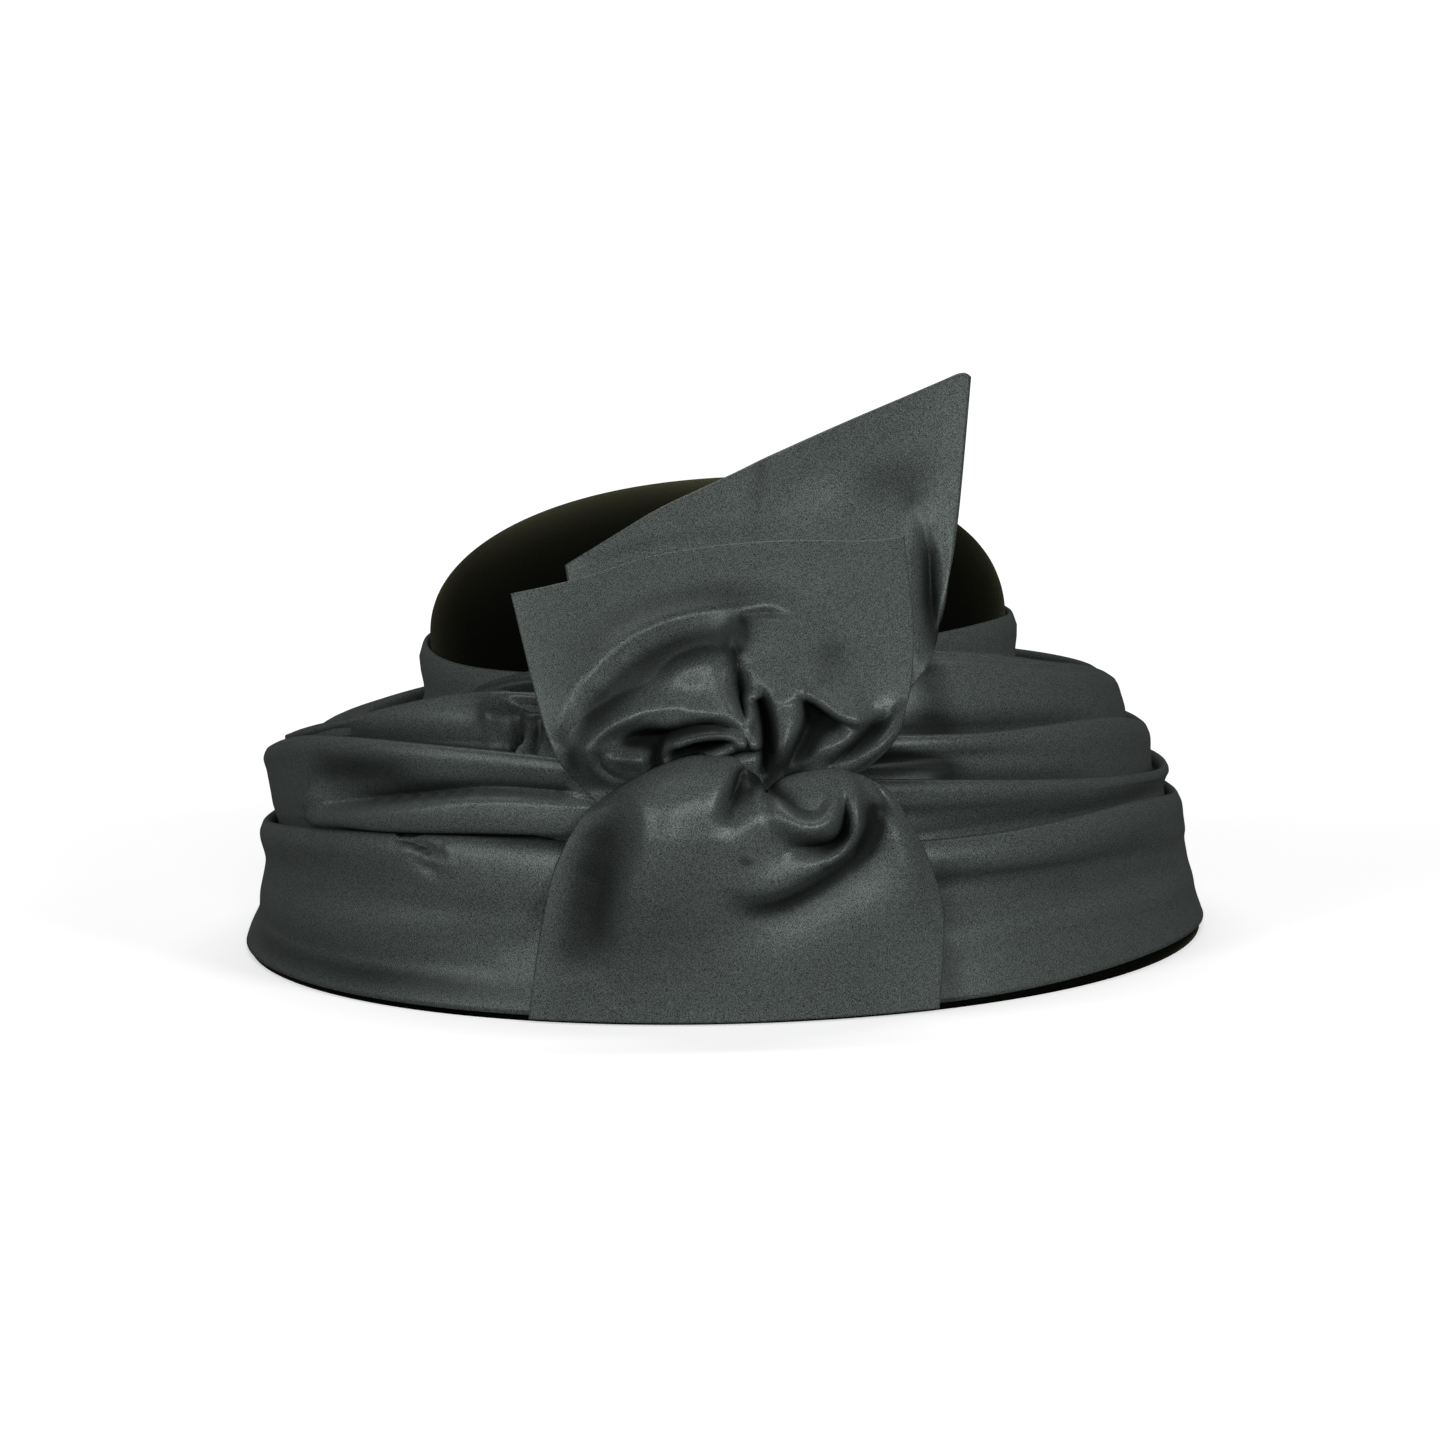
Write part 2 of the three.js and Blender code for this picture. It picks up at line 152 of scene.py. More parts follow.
def fold_height(place, row):
    line = smooth_line(row["path"], FOLD_SAMPLES)
    away = place[..., None, :] - line
    nearest = np.linalg.norm(away, axis=-1).argmin(axis=-1)
    step = np.gradient(line, axis=0)[nearest]
    offset = np.take_along_axis(away, nearest[..., None, None], -2)[..., 0, :]
    onward = (offset * step).sum(axis=-1) / (step * step).sum(axis=-1)
    most_back = np.where(nearest == 0, 0, -SAMPLE_REACH)
    most_on = np.where(nearest == FOLD_SAMPLES - 1, 0, SAMPLE_REACH)
    onward = np.clip(onward, most_back, most_on)
    gap = np.linalg.norm(offset - onward[..., None] * step, axis=-1)
    on_left = step[..., 0] * offset[..., 1] - step[..., 1] * offset[..., 0] > 0
    width = np.where(on_left, *row["width"])
    share = (nearest + onward) / (FOLD_SAMPLES - 1)
    height = np.interp(share, np.linspace(0, 1, len(row["height"])), row["height"])
    bell = np.exp(-((gap / width) ** 2))
    ramp = np.clip(1 - gap / width, 0, 1) ** 2
    crisp = {"both": True, "left": on_left, "none": False}[row["crisp"]]
    return height * np.where(crisp, ramp, bell)


def deepest(rows):
    return min(rows, key=lambda row: min(row["height"]))["name"]


print("a fold is sampled at", FOLD_SAMPLES, "points")

# %% [markdown]
# ## Grids of cloth
# Cloth is a grid of points, rows along it and columns across, joined into quads and given its
# thickness by a Solidify modifier. In a deep fold of satin the light is lost between the layers, more
# than in this thin model. So each point also carries how deep it lies, as an attribute named hollow
# that the satin reads to paint shade into its colour: a painted shade in the deep folds. It is fixed
# to the cloth, not to one view, so it stays in its fold from every side.

# %% Grids of cloth
# painted shade: fold depths where the satin's colour starts to darken and where it is fully dark
PAINTED_SHADE_DEPTHS = (0.3, 6.0)  # depth of a fold, millimetres, where its shade starts and where it is full


def grid_piece(name, grid, round_columns=False, round_rows=False):
    rows, columns = grid.shape[:2]
    index = np.arange(rows * columns).reshape(rows, columns)
    if round_rows:
        index = np.vstack([index, index[:1]])
    if round_columns:
        index = np.column_stack([index, index[:, 0]])
    corners = np.stack([index[:-1, :-1], index[:-1, 1:], index[1:, 1:], index[1:, :-1]], axis=-1)
    mesh = bpy.data.meshes.new(name)
    mesh.from_pydata(grid.reshape(-1, 3).tolist(), [], corners.reshape(-1, 4).tolist())
    mesh.shade_smooth()
    piece = bpy.data.objects.new(name, mesh)
    bpy.context.scene.collection.objects.link(piece)
    return piece


def cloth(name, grid, thickness, depth, closed=False):
    piece = grid_piece(name, grid, round_columns=closed)
    # painted shade: each point's depth becomes a share of darkening that the satin paints into its colour
    hollow = piece.data.attributes.new("hollow", "FLOAT", "POINT")
    hollow.data.foreach_set("value", smoothstep(*PAINTED_SHADE_DEPTHS, depth).ravel())
    body = piece.modifiers.new("cloth_thickness", "SOLIDIFY")
    body.thickness = thickness * MM
    body.offset = 0
    return piece


def dress(piece, node, finish):
    piece.data.materials.append(finish)
    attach(piece, "root")
    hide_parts(node)
    print(piece.name, "faces:", len(piece.data.polygons))


print("shade of the hollows, millimetres deep:", PAINTED_SHADE_DEPTHS)

# %% [markdown]
# ## Writing shader maths as Python
# A material in Blender is a graph of nodes. Wiring each Math node by hand hides the formula, so a
# small class stands for one wire of the graph and Python's operators add the nodes: 1 - mask is one
# Subtract node. The workshop below holds the material and the place on the piece, and has one method
# for any other node: its type, its settings, and the values or wires of its sockets.

# %% Wires and the finish workshop


def shader_maths(operation, reflected=False):
    def apply(self, other):
        return self.shop.math(operation, *((other, self) if reflected else (self, other)))

    return apply


class Wire:
    def __init__(self, shop, socket):
        self.shop = shop
        self.socket = socket

    __add__ = shader_maths("ADD")
    __radd__ = shader_maths("ADD", reflected=True)
    __sub__ = shader_maths("SUBTRACT")
    __rsub__ = shader_maths("SUBTRACT", reflected=True)
    __mul__ = shader_maths("MULTIPLY")
    __rmul__ = shader_maths("MULTIPLY", reflected=True)


class Finish:
    def __init__(self, name):
        self.material = bpy.data.materials.new(name)
        self.material.use_nodes = True
        self.tree = self.material.node_tree
        self.tree.nodes.clear()
        self.place = self.node("ShaderNodeTexCoord", output="Object")

    def node(self, kind, settings=None, inputs=None, output=0):
        made = self.tree.nodes.new(kind)
        for key, value in (settings or {}).items():
            setattr(made, key, value)
        for key, value in (inputs or {}).items():
            if isinstance(value, Wire):
                self.tree.links.new(value.socket, made.inputs[key])
            else:
                made.inputs[key].default_value = value
        return Wire(self, made.outputs[output]) if made.outputs else None

    def math(self, operation, *values):
        return self.node("ShaderNodeMath", {"operation": operation}, dict(enumerate(values)))

    def mix(self, factor, first, second):
        inputs = {0: factor, 6: first, 7: second}
        return self.node("ShaderNodeMix", {"data_type": "RGBA"}, inputs, output=2)

    def noise(self, scale, detail=2.0):
        inputs = {"Vector": self.place, "Scale": scale, "Detail": detail}
        return self.node("ShaderNodeTexNoise", None, inputs)

    def bump(self, height, strength, distance):
        inputs = {"Strength": strength, "Distance": distance, "Height": height}
        return self.node("ShaderNodeBump", None, inputs)

    def surface(self, inputs):
        shader = self.node("ShaderNodeBsdfPrincipled", None, inputs)
        self.node("ShaderNodeOutputMaterial", None, {"Surface": shader})
        return self.material


print("finish workshop is ready")

# %% [markdown]
# ## Duchesse satin
# The satin is a heavy, tightly woven cloth: dark grey with a breath of green, a wide soft gloss and a
# fine grain of threads. A plain glossy shader would mirror the lamps like plastic. Here a part of the
# surface is metallic, so that the gloss takes the cloth's own colour, and a middling roughness spreads
# it. The threads are a fine noise with a slanting twill line: they change the colour and the roughness
# a little and raise the surface. Last, the hollow attribute paints shade into the colour of the deep
# folds, almost black.

# %% Satin
THREAD = 0.0007  # spacing of the twill lines, metres
TWILL_SLANT = 0.6
GRAIN = 0.0003  # size of a fleck in the weave, metres
GRAIN_CONTRAST = 4.2
GRAIN_SHARE = 0.8  # of the threads' pattern, the rest is twill
THREAD_SHARE = 0.8  # of the colour's changes, the rest is a slow drift
DRIFT_SCALE = 22.0  # slow changes of tone in one metre
SATIN_DEEP = (0.022, 0.028, 0.026, 1.0)
SATIN_PALE = (0.150, 0.170, 0.160, 1.0)
# painted shade: the colour that the deepest folds are darkened to
SATIN_PAINTED_SHADE = (0.010, 0.012, 0.011, 1.0)
PAINTED_SHADE_SHARE = 0.92  # how far the deepest folds turn to the shade
SATIN_ROUGHNESS = 0.34
ROUGHNESS_SPREAD = 0.04


def satin_finish():
    finish = Finish("satin")
    grain = (finish.noise(1 / GRAIN) - 0.5) * GRAIN_CONTRAST + 0.5
    drift = finish.noise(DRIFT_SCALE, detail=3.0)
    split = finish.node("ShaderNodeSeparateXYZ", None, {0: finish.place})
    across = Wire(finish, split.socket.node.outputs["X"])
    upward = Wire(finish, split.socket.node.outputs["Z"])
    twill = finish.math("SINE", (across + upward * TWILL_SLANT) * (2 * math.pi / THREAD))
    threads = grain * GRAIN_SHARE + (twill * 0.5 + 0.5) * (1 - GRAIN_SHARE)
    blend = threads * THREAD_SHARE + drift * (1 - THREAD_SHARE)
    lit = finish.mix(blend, SATIN_DEEP, SATIN_PALE)
    # painted shade: the hollow attribute mixes the base colour towards the painted shade colour
    hollow = finish.node("ShaderNodeAttribute", {"attribute_name": "hollow"}, output="Fac")
    return finish.surface({
        "Base Color": finish.mix(hollow * PAINTED_SHADE_SHARE, lit, SATIN_PAINTED_SHADE),
        "Roughness": SATIN_ROUGHNESS + grain * ROUGHNESS_SPREAD,
        "Metallic": 0.3,
        "Specular IOR Level": 0.2,
        "Specular Tint": (0.2, 0.2, 0.2, 1.0),
        "Normal": finish.bump(threads, strength=0.10, distance=0.0003),
    })


satin = satin_finish()
print("satin nodes:", len(satin.node_tree.nodes))

# %% [markdown]
# ## Cut-pile velvet
# Velvet is nearly black when it is looked at straight on, because light falls between its upright
# hairs, and it glows a little olive where the pile is seen edge on. The sheen lobe of the Principled
# shader does exactly this. A fine noise stands for the tips of the pile and a slow one for places
# where a hand has brushed it.

# %% Velvet
PILE = 0.0008  # size of a tuft, metres
BRUSHED_SCALE = 18.0  # brushed places in one metre
VELVET_DEEP = (0.0016, 0.0016, 0.0014, 1.0)
VELVET_PALE = (0.0045, 0.0046, 0.0034, 1.0)


def velvet_finish():
    finish = Finish("velvet")
    tips = finish.noise(1 / PILE)
    brushed = finish.noise(BRUSHED_SCALE)
    return finish.surface({
        "Base Color": finish.mix(tips * 0.5 + brushed * 0.5, VELVET_DEEP, VELVET_PALE),
        "Roughness": 0.9 + tips * 0.1,
        "Specular IOR Level": 0.0,
        "Sheen Weight": 0.085,
        "Sheen Roughness": 0.28,
        "Sheen Tint": (0.75, 0.75, 0.45, 1.0),
        "Normal": finish.bump(tips, strength=0.3, distance=0.0004),
    })


velvet = velvet_finish()
print("velvet nodes:", len(velvet.node_tree.nodes))

# %% [markdown]
# ## The crown
# The crown is a hollow dome, blocked in one piece and covered with velvet. A stretched sphere would be
# too round: the real one has a fuller shoulder, so its profile is a superellipse. The same profile,
# a wall's thickness smaller, makes the inside, and the two meet in a rounded lower edge that the satin
# hides. The dome rises a little towards the viewer's right, as it does in the photograph. All the
# points at the top of a turned profile fall together, and a Weld modifier makes one of them.

# %% Crown
CROWN_BASE = crown_low.z / MM
DOME_BASE = 90.0
DOME_HEIGHT = 42.5
DOME_POWER = 2.3
DOME_TILT = 0.037  # rise per millimetre towards +X
VELVET_WALL = 2.0
EDGE_ROUND = 1.0
OUTSIDE_STEPS = 56
INSIDE_STEPS = 40
CROWN_COLUMNS = 144
WELD_DISTANCE = 0.00002  # metres


def dome_profile(half_width, height, count):
    rise = np.sin(np.linspace(0, math.pi / 2, count))
    width = half_width * np.clip(1 - rise**DOME_POWER, 0, None) ** (1 / DOME_POWER)
    return np.column_stack([width, DOME_BASE + height * rise])


def turned(name, profile, columns):
    turn = np.radians(np.linspace(-180, 180, columns, endpoint=False))[None, :]
    width = profile[:, :1]
    x = width * np.sin(turn)
    y = -width * np.cos(turn) * CROWN_HALF_DEPTH / CROWN_HALF_WIDTH
    z = np.broadcast_to(profile[:, 1:], x.shape)
    z = z + smoothstep(DOME_BASE - DOME_HEIGHT / 2, DOME_BASE + DOME_HEIGHT, z) * DOME_TILT * x
    grid = np.stack([x + MIDDLE_X, y + MIDDLE_Y, z], axis=-1) * MM
    piece = grid_piece(name, grid, round_columns=True)
    weld = piece.modifiers.new("closed_poles", "WELD")
    weld.merge_threshold = WELD_DISTANCE
    return piece


outside = dome_profile(CROWN_HALF_WIDTH, DOME_HEIGHT, OUTSIDE_STEPS)
inside = dome_profile(CROWN_HALF_WIDTH - VELVET_WALL, DOME_HEIGHT - VELVET_WALL, INSIDE_STEPS)
edge = [
    (CROWN_HALF_WIDTH - VELVET_WALL, CROWN_BASE + EDGE_ROUND),
    (CROWN_HALF_WIDTH - VELVET_WALL / 2, CROWN_BASE),
    (CROWN_HALF_WIDTH, CROWN_BASE + EDGE_ROUND),
]
crown = turned("crown_velvet", np.vstack([inside[::-1], edge, outside]), CROWN_COLUMNS)
dress(crown, "crown", velvet)

# %% [markdown]
# ## The brim
# Under the satin the brim is a velvet bell: flat at the headline, then bending down to an edge that
# lies in one plane, which is what the hat rests on. Only its edge shows from outside, as a dark strip
# under the satin, and its whole lining shows from below. It is a line of a few points swept round the
# hat, with the same line a wall's thickness inside it.

# %% Brim
BRIM_LINE = [  # reach and height, from the headline to the edge
    (85.4, 66), (90, 62.5), (105, 58.5), (116, 52), (123.5, 43), (128.4, 26), (136.2, 9),
    (140.2, 1.5), (140.4, 0),
]
BRIM_STEPS = 40
BRIM_COLUMNS = 180


def beside(line, distance):
    step = np.gradient(line, axis=0)
    normal = np.column_stack([-step[:, 1], step[:, 0]])
    return line + distance * normal / np.linalg.norm(normal, axis=1, keepdims=True)


def swept(name, loop, columns):
    angles = np.linspace(-180, 180, columns, endpoint=False)
    grid = on_hat(angles[None, :], loop[:, :1], loop[:, 1:])
    return grid_piece(name, grid, round_columns=True, round_rows=True)


headline_reach, headline_height = BRIM_LINE[0]
upper_side = smooth_line(BRIM_LINE, BRIM_STEPS)
lower_side = beside(upper_side, -VELVET_WALL)
lower_side[0] = (headline_reach, headline_height - 2 * VELVET_WALL)
lower_side[:, 1] = np.clip(lower_side[:, 1], 0, None)
brim = swept("brim_velvet", np.vstack([upper_side, lower_side[::-1]]), BRIM_COLUMNS)
dress(brim, "brim", velvet)

# %% [markdown]
# ## The swathe
# One strip of satin covers the crown's foot and the whole brim. It is laid in pleats that open
# upwards, like roof tiles turned over: each pleat's rolled edge, its lip, stands proud of the cloth
# above it and leaves a dark pocket behind. Every pleat is a row of the table: how far out its lip lies
# and how high, at nine places round the hat, read smoothly in between. The knees bend the pleat's face
# on its way to the next pocket. They are shares of that way, outwards and downwards.

# %% Pleat table
PLACES = np.array([-180, -120, -90, -60, -30, 0, 30, 60, 90], float)  # back, left, front and right
CLOTH = 1.0
LIP_WIDTH = 2.6
BAND_LIP = 1.2
POCKET_GAP = 2.2
PLEATS = [
    dict(name="band", lip=BAND_LIP, pocket=0, knees=[(0.06, 0.72)],
         reach=[86.7] * len(PLACES),
         height=[90, 88.7, 88, 86.5, 87.5, 90, 93.5, 94.4, 92.5]),
    dict(name="shelf", lip=LIP_WIDTH, pocket=5, knees=[(0.3, 0.1), (0.72, 0.42)],
         reach=[107, 105, 106, 106, 104, 104, 112, 114, 112],
         height=[71, 66.4, 66.9, 74, 90, 92, 94, 84, 75]),
    dict(name="shoulder", lip=LIP_WIDTH, pocket=6, knees=[(0.5, 0.6)],
         reach=[126, 128.6, 129.5, 125, 118, 121, 126, 126, 125.6],
         height=[58, 55, 61, 74, 86, 78, 72, 69, 58.8]),
    dict(name="upper_wall", lip=LIP_WIDTH, pocket=4, knees=[(0.2, 0.2), (0.6, 0.5)],
         reach=[131, 133.2, 134.2, 133.6, 132.6, 131, 130.5, 131, 132],
         height=[47, 49.5, 56, 69.5, 71.7, 66, 60, 52.7, 47]),
    dict(name="lower_wall", lip=LIP_WIDTH, pocket=9, knees=[(-0.2, 0.33), (0.42, 0.7)],
         reach=[135.2, 135.4, 135.6, 136, 136, 136, 135.2, 135, 134.8],
         height=[37, 35.8, 36.5, 43.5, 48, 47, 45, 45.3, 38.5]),
]
HEM_REACH = 141.2
HEM_HEIGHT = [1.2, 1.2, 1.2, 1.1, 1.2, 1.2, 1.6, 3.2, 2.2]


def around(values, angles):
    at = np.concatenate([PLACES[-1:] - 360, PLACES, PLACES[:2] + 360])
    value = np.concatenate([values[-1:], values, values[:2]]).astype(float)
    slope = np.zeros_like(value)
    slope[1:-1] = (value[2:] - value[:-2]) / (at[2:] - at[:-2])
    i = np.clip(np.searchsorted(at, angles, side="right") - 1, 1, len(at) - 3)
    span = at[i + 1] - at[i]
    t = (angles - at[i]) / span
    ends = value[i] * (1 + 2 * t) * (1 - t) ** 2 + value[i + 1] * t * t * (3 - 2 * t)
    return ends + span * (slope[i] * t * (1 - t) ** 2 - slope[i + 1] * t * t * (1 - t))


print("pleats:", [pleat["name"] for pleat in PLEATS])

# %% [markdown]
# The strip's line at one angle is a zigzag of control points: over a lip, down a face, into a pocket
# and up behind the next lip, as far as the hem. Each point keeps the name of the pleat's face it lies
# on, so that folds can find that face later.

# %% Zigzag of the strip
BAND_TURN = 6.0  # how far the topmost edge is turned in
LIP_DROP = 0.7  # how far a lip's two sides lie below its top, as a share of its width
POCKET_ROUND = 1.2


def control_points(angles):
    edges = []
    for pleat in PLEATS:
        edges.append((pleat, around(pleat["reach"], angles), around(pleat["height"], angles)))
    points = []
    owner = []

    def add(reach, height, name):
        points.append(np.column_stack([reach, height]))
        owner.append(name)

    for i, (pleat, reach, height) in enumerate(edges):
        name = pleat["name"]
        lip = pleat["lip"]
        is_last = i + 1 == len(edges)
        if i == 0:
            add(reach - lip, height - BAND_TURN, "")
        add(reach - lip, height - lip * LIP_DROP, "")
        add(reach - lip / 2, height, name)
        add(reach, height - lip * LIP_DROP, name)
        if is_last:
            foot = (np.full_like(angles, HEM_REACH), around(HEM_HEIGHT, angles) + CLOTH / 2)
        else:
            after, next_reach, next_height = edges[i + 1]
            foot = (next_reach - after["lip"] - POCKET_GAP, next_height - after["pocket"])
        for out, down in pleat["knees"]:
            add(reach + (foot[0] - reach) * out, height + (foot[1] - height) * down, name)
        if is_last:
            add(foot[0], foot[1], name)
        else:
            add(foot[0], foot[1] + POCKET_ROUND, name)
            add(foot[0] + POCKET_GAP / 2, foot[1], "")
            add(foot[0] + POCKET_GAP, foot[1] + POCKET_ROUND, "")
    return np.stack(points, axis=1), owner


print("turns of the zigzag at one angle:", len(control_points(np.zeros(1))[1]))

# %% [markdown]
# Rounding the zigzag with one spline for all would overshoot, because some points lie 2 mm apart and
# others 25 mm, so each stretch is a Hermite curve whose pull is the stretch's own length. Short
# stretches get few steps and long ones more, and each row of the grid then follows the same pleat all
# the way round. The columns stand close where the folds are and wide apart at the plain back.

# %% Swathe line
COARSE_SPACING = 1.9
ROW_SPACING = dict(shelf=1.4, shoulder=1.2, upper_wall=0.7, lower_wall=1.25)
FEWEST_STEPS = 2
MOST_STEPS = 30
COLUMN_RUNS = [(-105, -75, 0.9), (-75, -15, 0.5), (-15, 105, 1.0), (105, 255, 3.5)]  # from, to, step


def rounded(points, owner):
    step = np.diff(points, axis=1)
    length = np.linalg.norm(step, axis=2, keepdims=True)
    unit = step / length
    tangent = np.empty_like(points)
    tangent[:, 0] = unit[:, 0]
    tangent[:, -1] = unit[:, -1]
    tangent[:, 1:-1] = unit[:, :-1] * length[:, 1:] + unit[:, 1:] * length[:, :-1]
    tangent /= np.linalg.norm(tangent, axis=2, keepdims=True)
    stretches = []
    names = []
    for k in range(step.shape[1]):
        spacing = ROW_SPACING.get(owner[k], COARSE_SPACING)
        count = int(np.clip(np.median(length[:, k]) / spacing, FEWEST_STEPS, MOST_STEPS))
        t = np.linspace(0, 1, count, endpoint=False)[None, :, None]
        here, there = points[:, k : k + 1], points[:, k + 1 : k + 2]
        pull = length[:, k : k + 1]
        leave, arrive = pull * tangent[:, k : k + 1], pull * tangent[:, k + 1 : k + 2]
        start = here * (1 + 2 * t) * (1 - t) ** 2 + leave * t * (1 - t) ** 2
        finish = there * t * t * (3 - 2 * t) - arrive * t * t * (1 - t)
        stretches.append(start + finish)
        names += [owner[k] if owner[k] == owner[k + 1] else ""] * count
    return np.concatenate(stretches + [points[:, -1:]], axis=1), names + [owner[-1]]


angles = np.concatenate([np.arange(*run) for run in COLUMN_RUNS])
angles = np.sort(np.where(angles >= 180, angles - 360, angles))
line, row_names = rounded(*control_points(angles))
print(f"swathe grid: {line.shape[0]} columns, {line.shape[1]} rows")

# %% [markdown]
# ## Folds on the swathe
# Pressed pleats are never perfectly even. The folds on each pleat's face are rows of a table, with
# paths of angle and height round the hat: a soft extra pleat on the left, a small tuck in the lowest
# lip, crumples beside the knot, and slow swells and dips on the big smooth faces. Most of them fade
# out towards their ends; the others run on under the tails, where the ends can't be seen.

# %% Folds on the swathe
SWATHE_FOLDS = dict(
    shelf=[
        fold("foot of the shelf left", (2, 1.5), "-4 -4 -4 -3.5 -3 -1.4 0",
             "-27,87.4 -36,84.8 -46,80.6 -58,75.8 -70,70.6 -80,68 -92,66"),
    ],
    shoulder=[
        fold("gather under the shoulder right", (2.4, 3.6), "-3.5 -2.5 -0.4", "18,66 30,66.5 46,64"),
        fold("first crumple left", (3, 3), "0.3 2.2 0.8", "-32,85 -31.2,80 -30.6,74"),
        fold("dent between the crumples", (1.8, 2.4), "-1.5 -5 -6.5", "-27.8,81.5 -27.3,77 -27,71"),
        fold("second crumple left", (1.1, 1.1), "0.5 2.5 3", "-25.2,76.5 -25.2,73 -25.3,69.8"),
        fold("dent beside the knot left", (1.2, 1.2), "-2.5 -4", "-24,78 -24,71"),
        fold("cross dent left", (1.3, 1.6), "-1.5 -5 -5", "-29,84.3 -26.5,83.3 -24,83"),
        fold("foot of the shoulder left", (2, 3.5), "-4.5 -4.5 -4.5 -4 -3.5 -2.5 -1.2 0",
             "-27,72.6 -38,72.8 -48,72.4 -58,71 -68,67.8 -78,63 -90,58.5 -100,56"),
    ],
    upper_wall=[
        fold("extra pleat", (2.6, 12), "0.5 3 4.5 5 5 4",
             "-62,47.5 -56,49.6 -47,52.6 -37,56.6 -28,59.4 -19,59", crisp="left"),
        fold("gap under the extra pleat", (0.9, 3), "0 -2.5 -5 -5 -4.5",
             "-54,46.6 -49,47 -41,47.6 -32,48.9 -22,49.4"),
        fold("recess over the extra pleat", (3.4, 0.9), "-1.5 -5 -6 -5.5 -4.5 -3.4 -3",
             "-54,52.2 -50,53.6 -45,55.4 -38,57.9 -31,60.2 -25,61 -19,60.6"),
        fold("end of the extra pleat", (8, 9), "0.8 3.5 2", "-60.5,55.5 -59.2,52.5 -58.8,50"),
        fold("gather under the upper wall right", (2.4, 3.6), "-2.6 -1.6 -0.3", "18,53 34,51.5 50,49.5"),
        fold("recess on the right", (4.5, 3), "-2 -3 -3.2 -2.6 -1.2 0",
             "18,46 34,46.5 50,45.5 66,44 84,41 100,39"),
        fold("belly of the extra pleat", (5, 1.2), "0.5 1.6 2.2 2.2 2 1.5",
             "-62,46.5 -55,48 -46,49.6 -36,51 -27,51.9 -18,51.9"),
    ],
    lower_wall=[
        fold("tuck", (1.5, 1.2), "-1.6 -3 -3.4 -2.6 -0.5",
             "-41,46.4 -38.5,45.4 -36.5,44 -34.8,42.6 -32.5,42.2"),
        fold("edge of the tuck", (1.1, 1.3), "0.8 1.8 2 0.3", "-40,45.3 -37.5,43.9 -35.3,41.9 -32,40.9"),
        fold("shadow under the tuck", (1.1, 2.2), "-0.6 -1.4 -0.2", "-38,42.4 -35.5,40.2 -33,39.5"),
        fold("streaks by the tuck", (1.2, 1.2), "0.8 0.2", "-33.2,45.4 -32.4,42"),
        fold("swell low left", (5, 5), "0 0.6 1.6 1.4", "-96,21 -72,22 -50,22 -24,26"),
        fold("dip over the hem left", (4, 4), "0 -1.6 -2.4 -0.6", "-106,10.5 -82,11 -55,11.5 -28,13"),
        fold("first dip right", (3.6, 3.6), "-2 -1.8 -1.2 -0.4", "22,33 34,32.5 46,31.5 60,30"),
        fold("second dip right", (4, 4), "-0.6 -2 -0.6 0", "26,26 46,26.5 66,24 86,21.5"),
        fold("swell right", (4, 4), "0.5 1.4 1 0", "28,19 48,20 82,15 106,12"),
        fold("roll by the knot left", (8, 6), "0.3 2.2 3.2 3.2", "-45,31 -37,33 -28,34 -19,35"),
        fold("roll under the lip right", (4, 4), "0.8 1.6 1.2 1.5 1.8 2.2 1.6 0",
             "24,37.5 32,38 42,37 53,35.5 64,33.5 78,30.5 92,27.5 108,26"),
        fold("fullness at the far right", (5, 5), "0 1.6 2 0", "66,25 80,23 94,21.5 110,21"),
    ],
)
print("deepest folds:", {pleat: deepest(rows) for pleat, rows in SWATHE_FOLDS.items()})
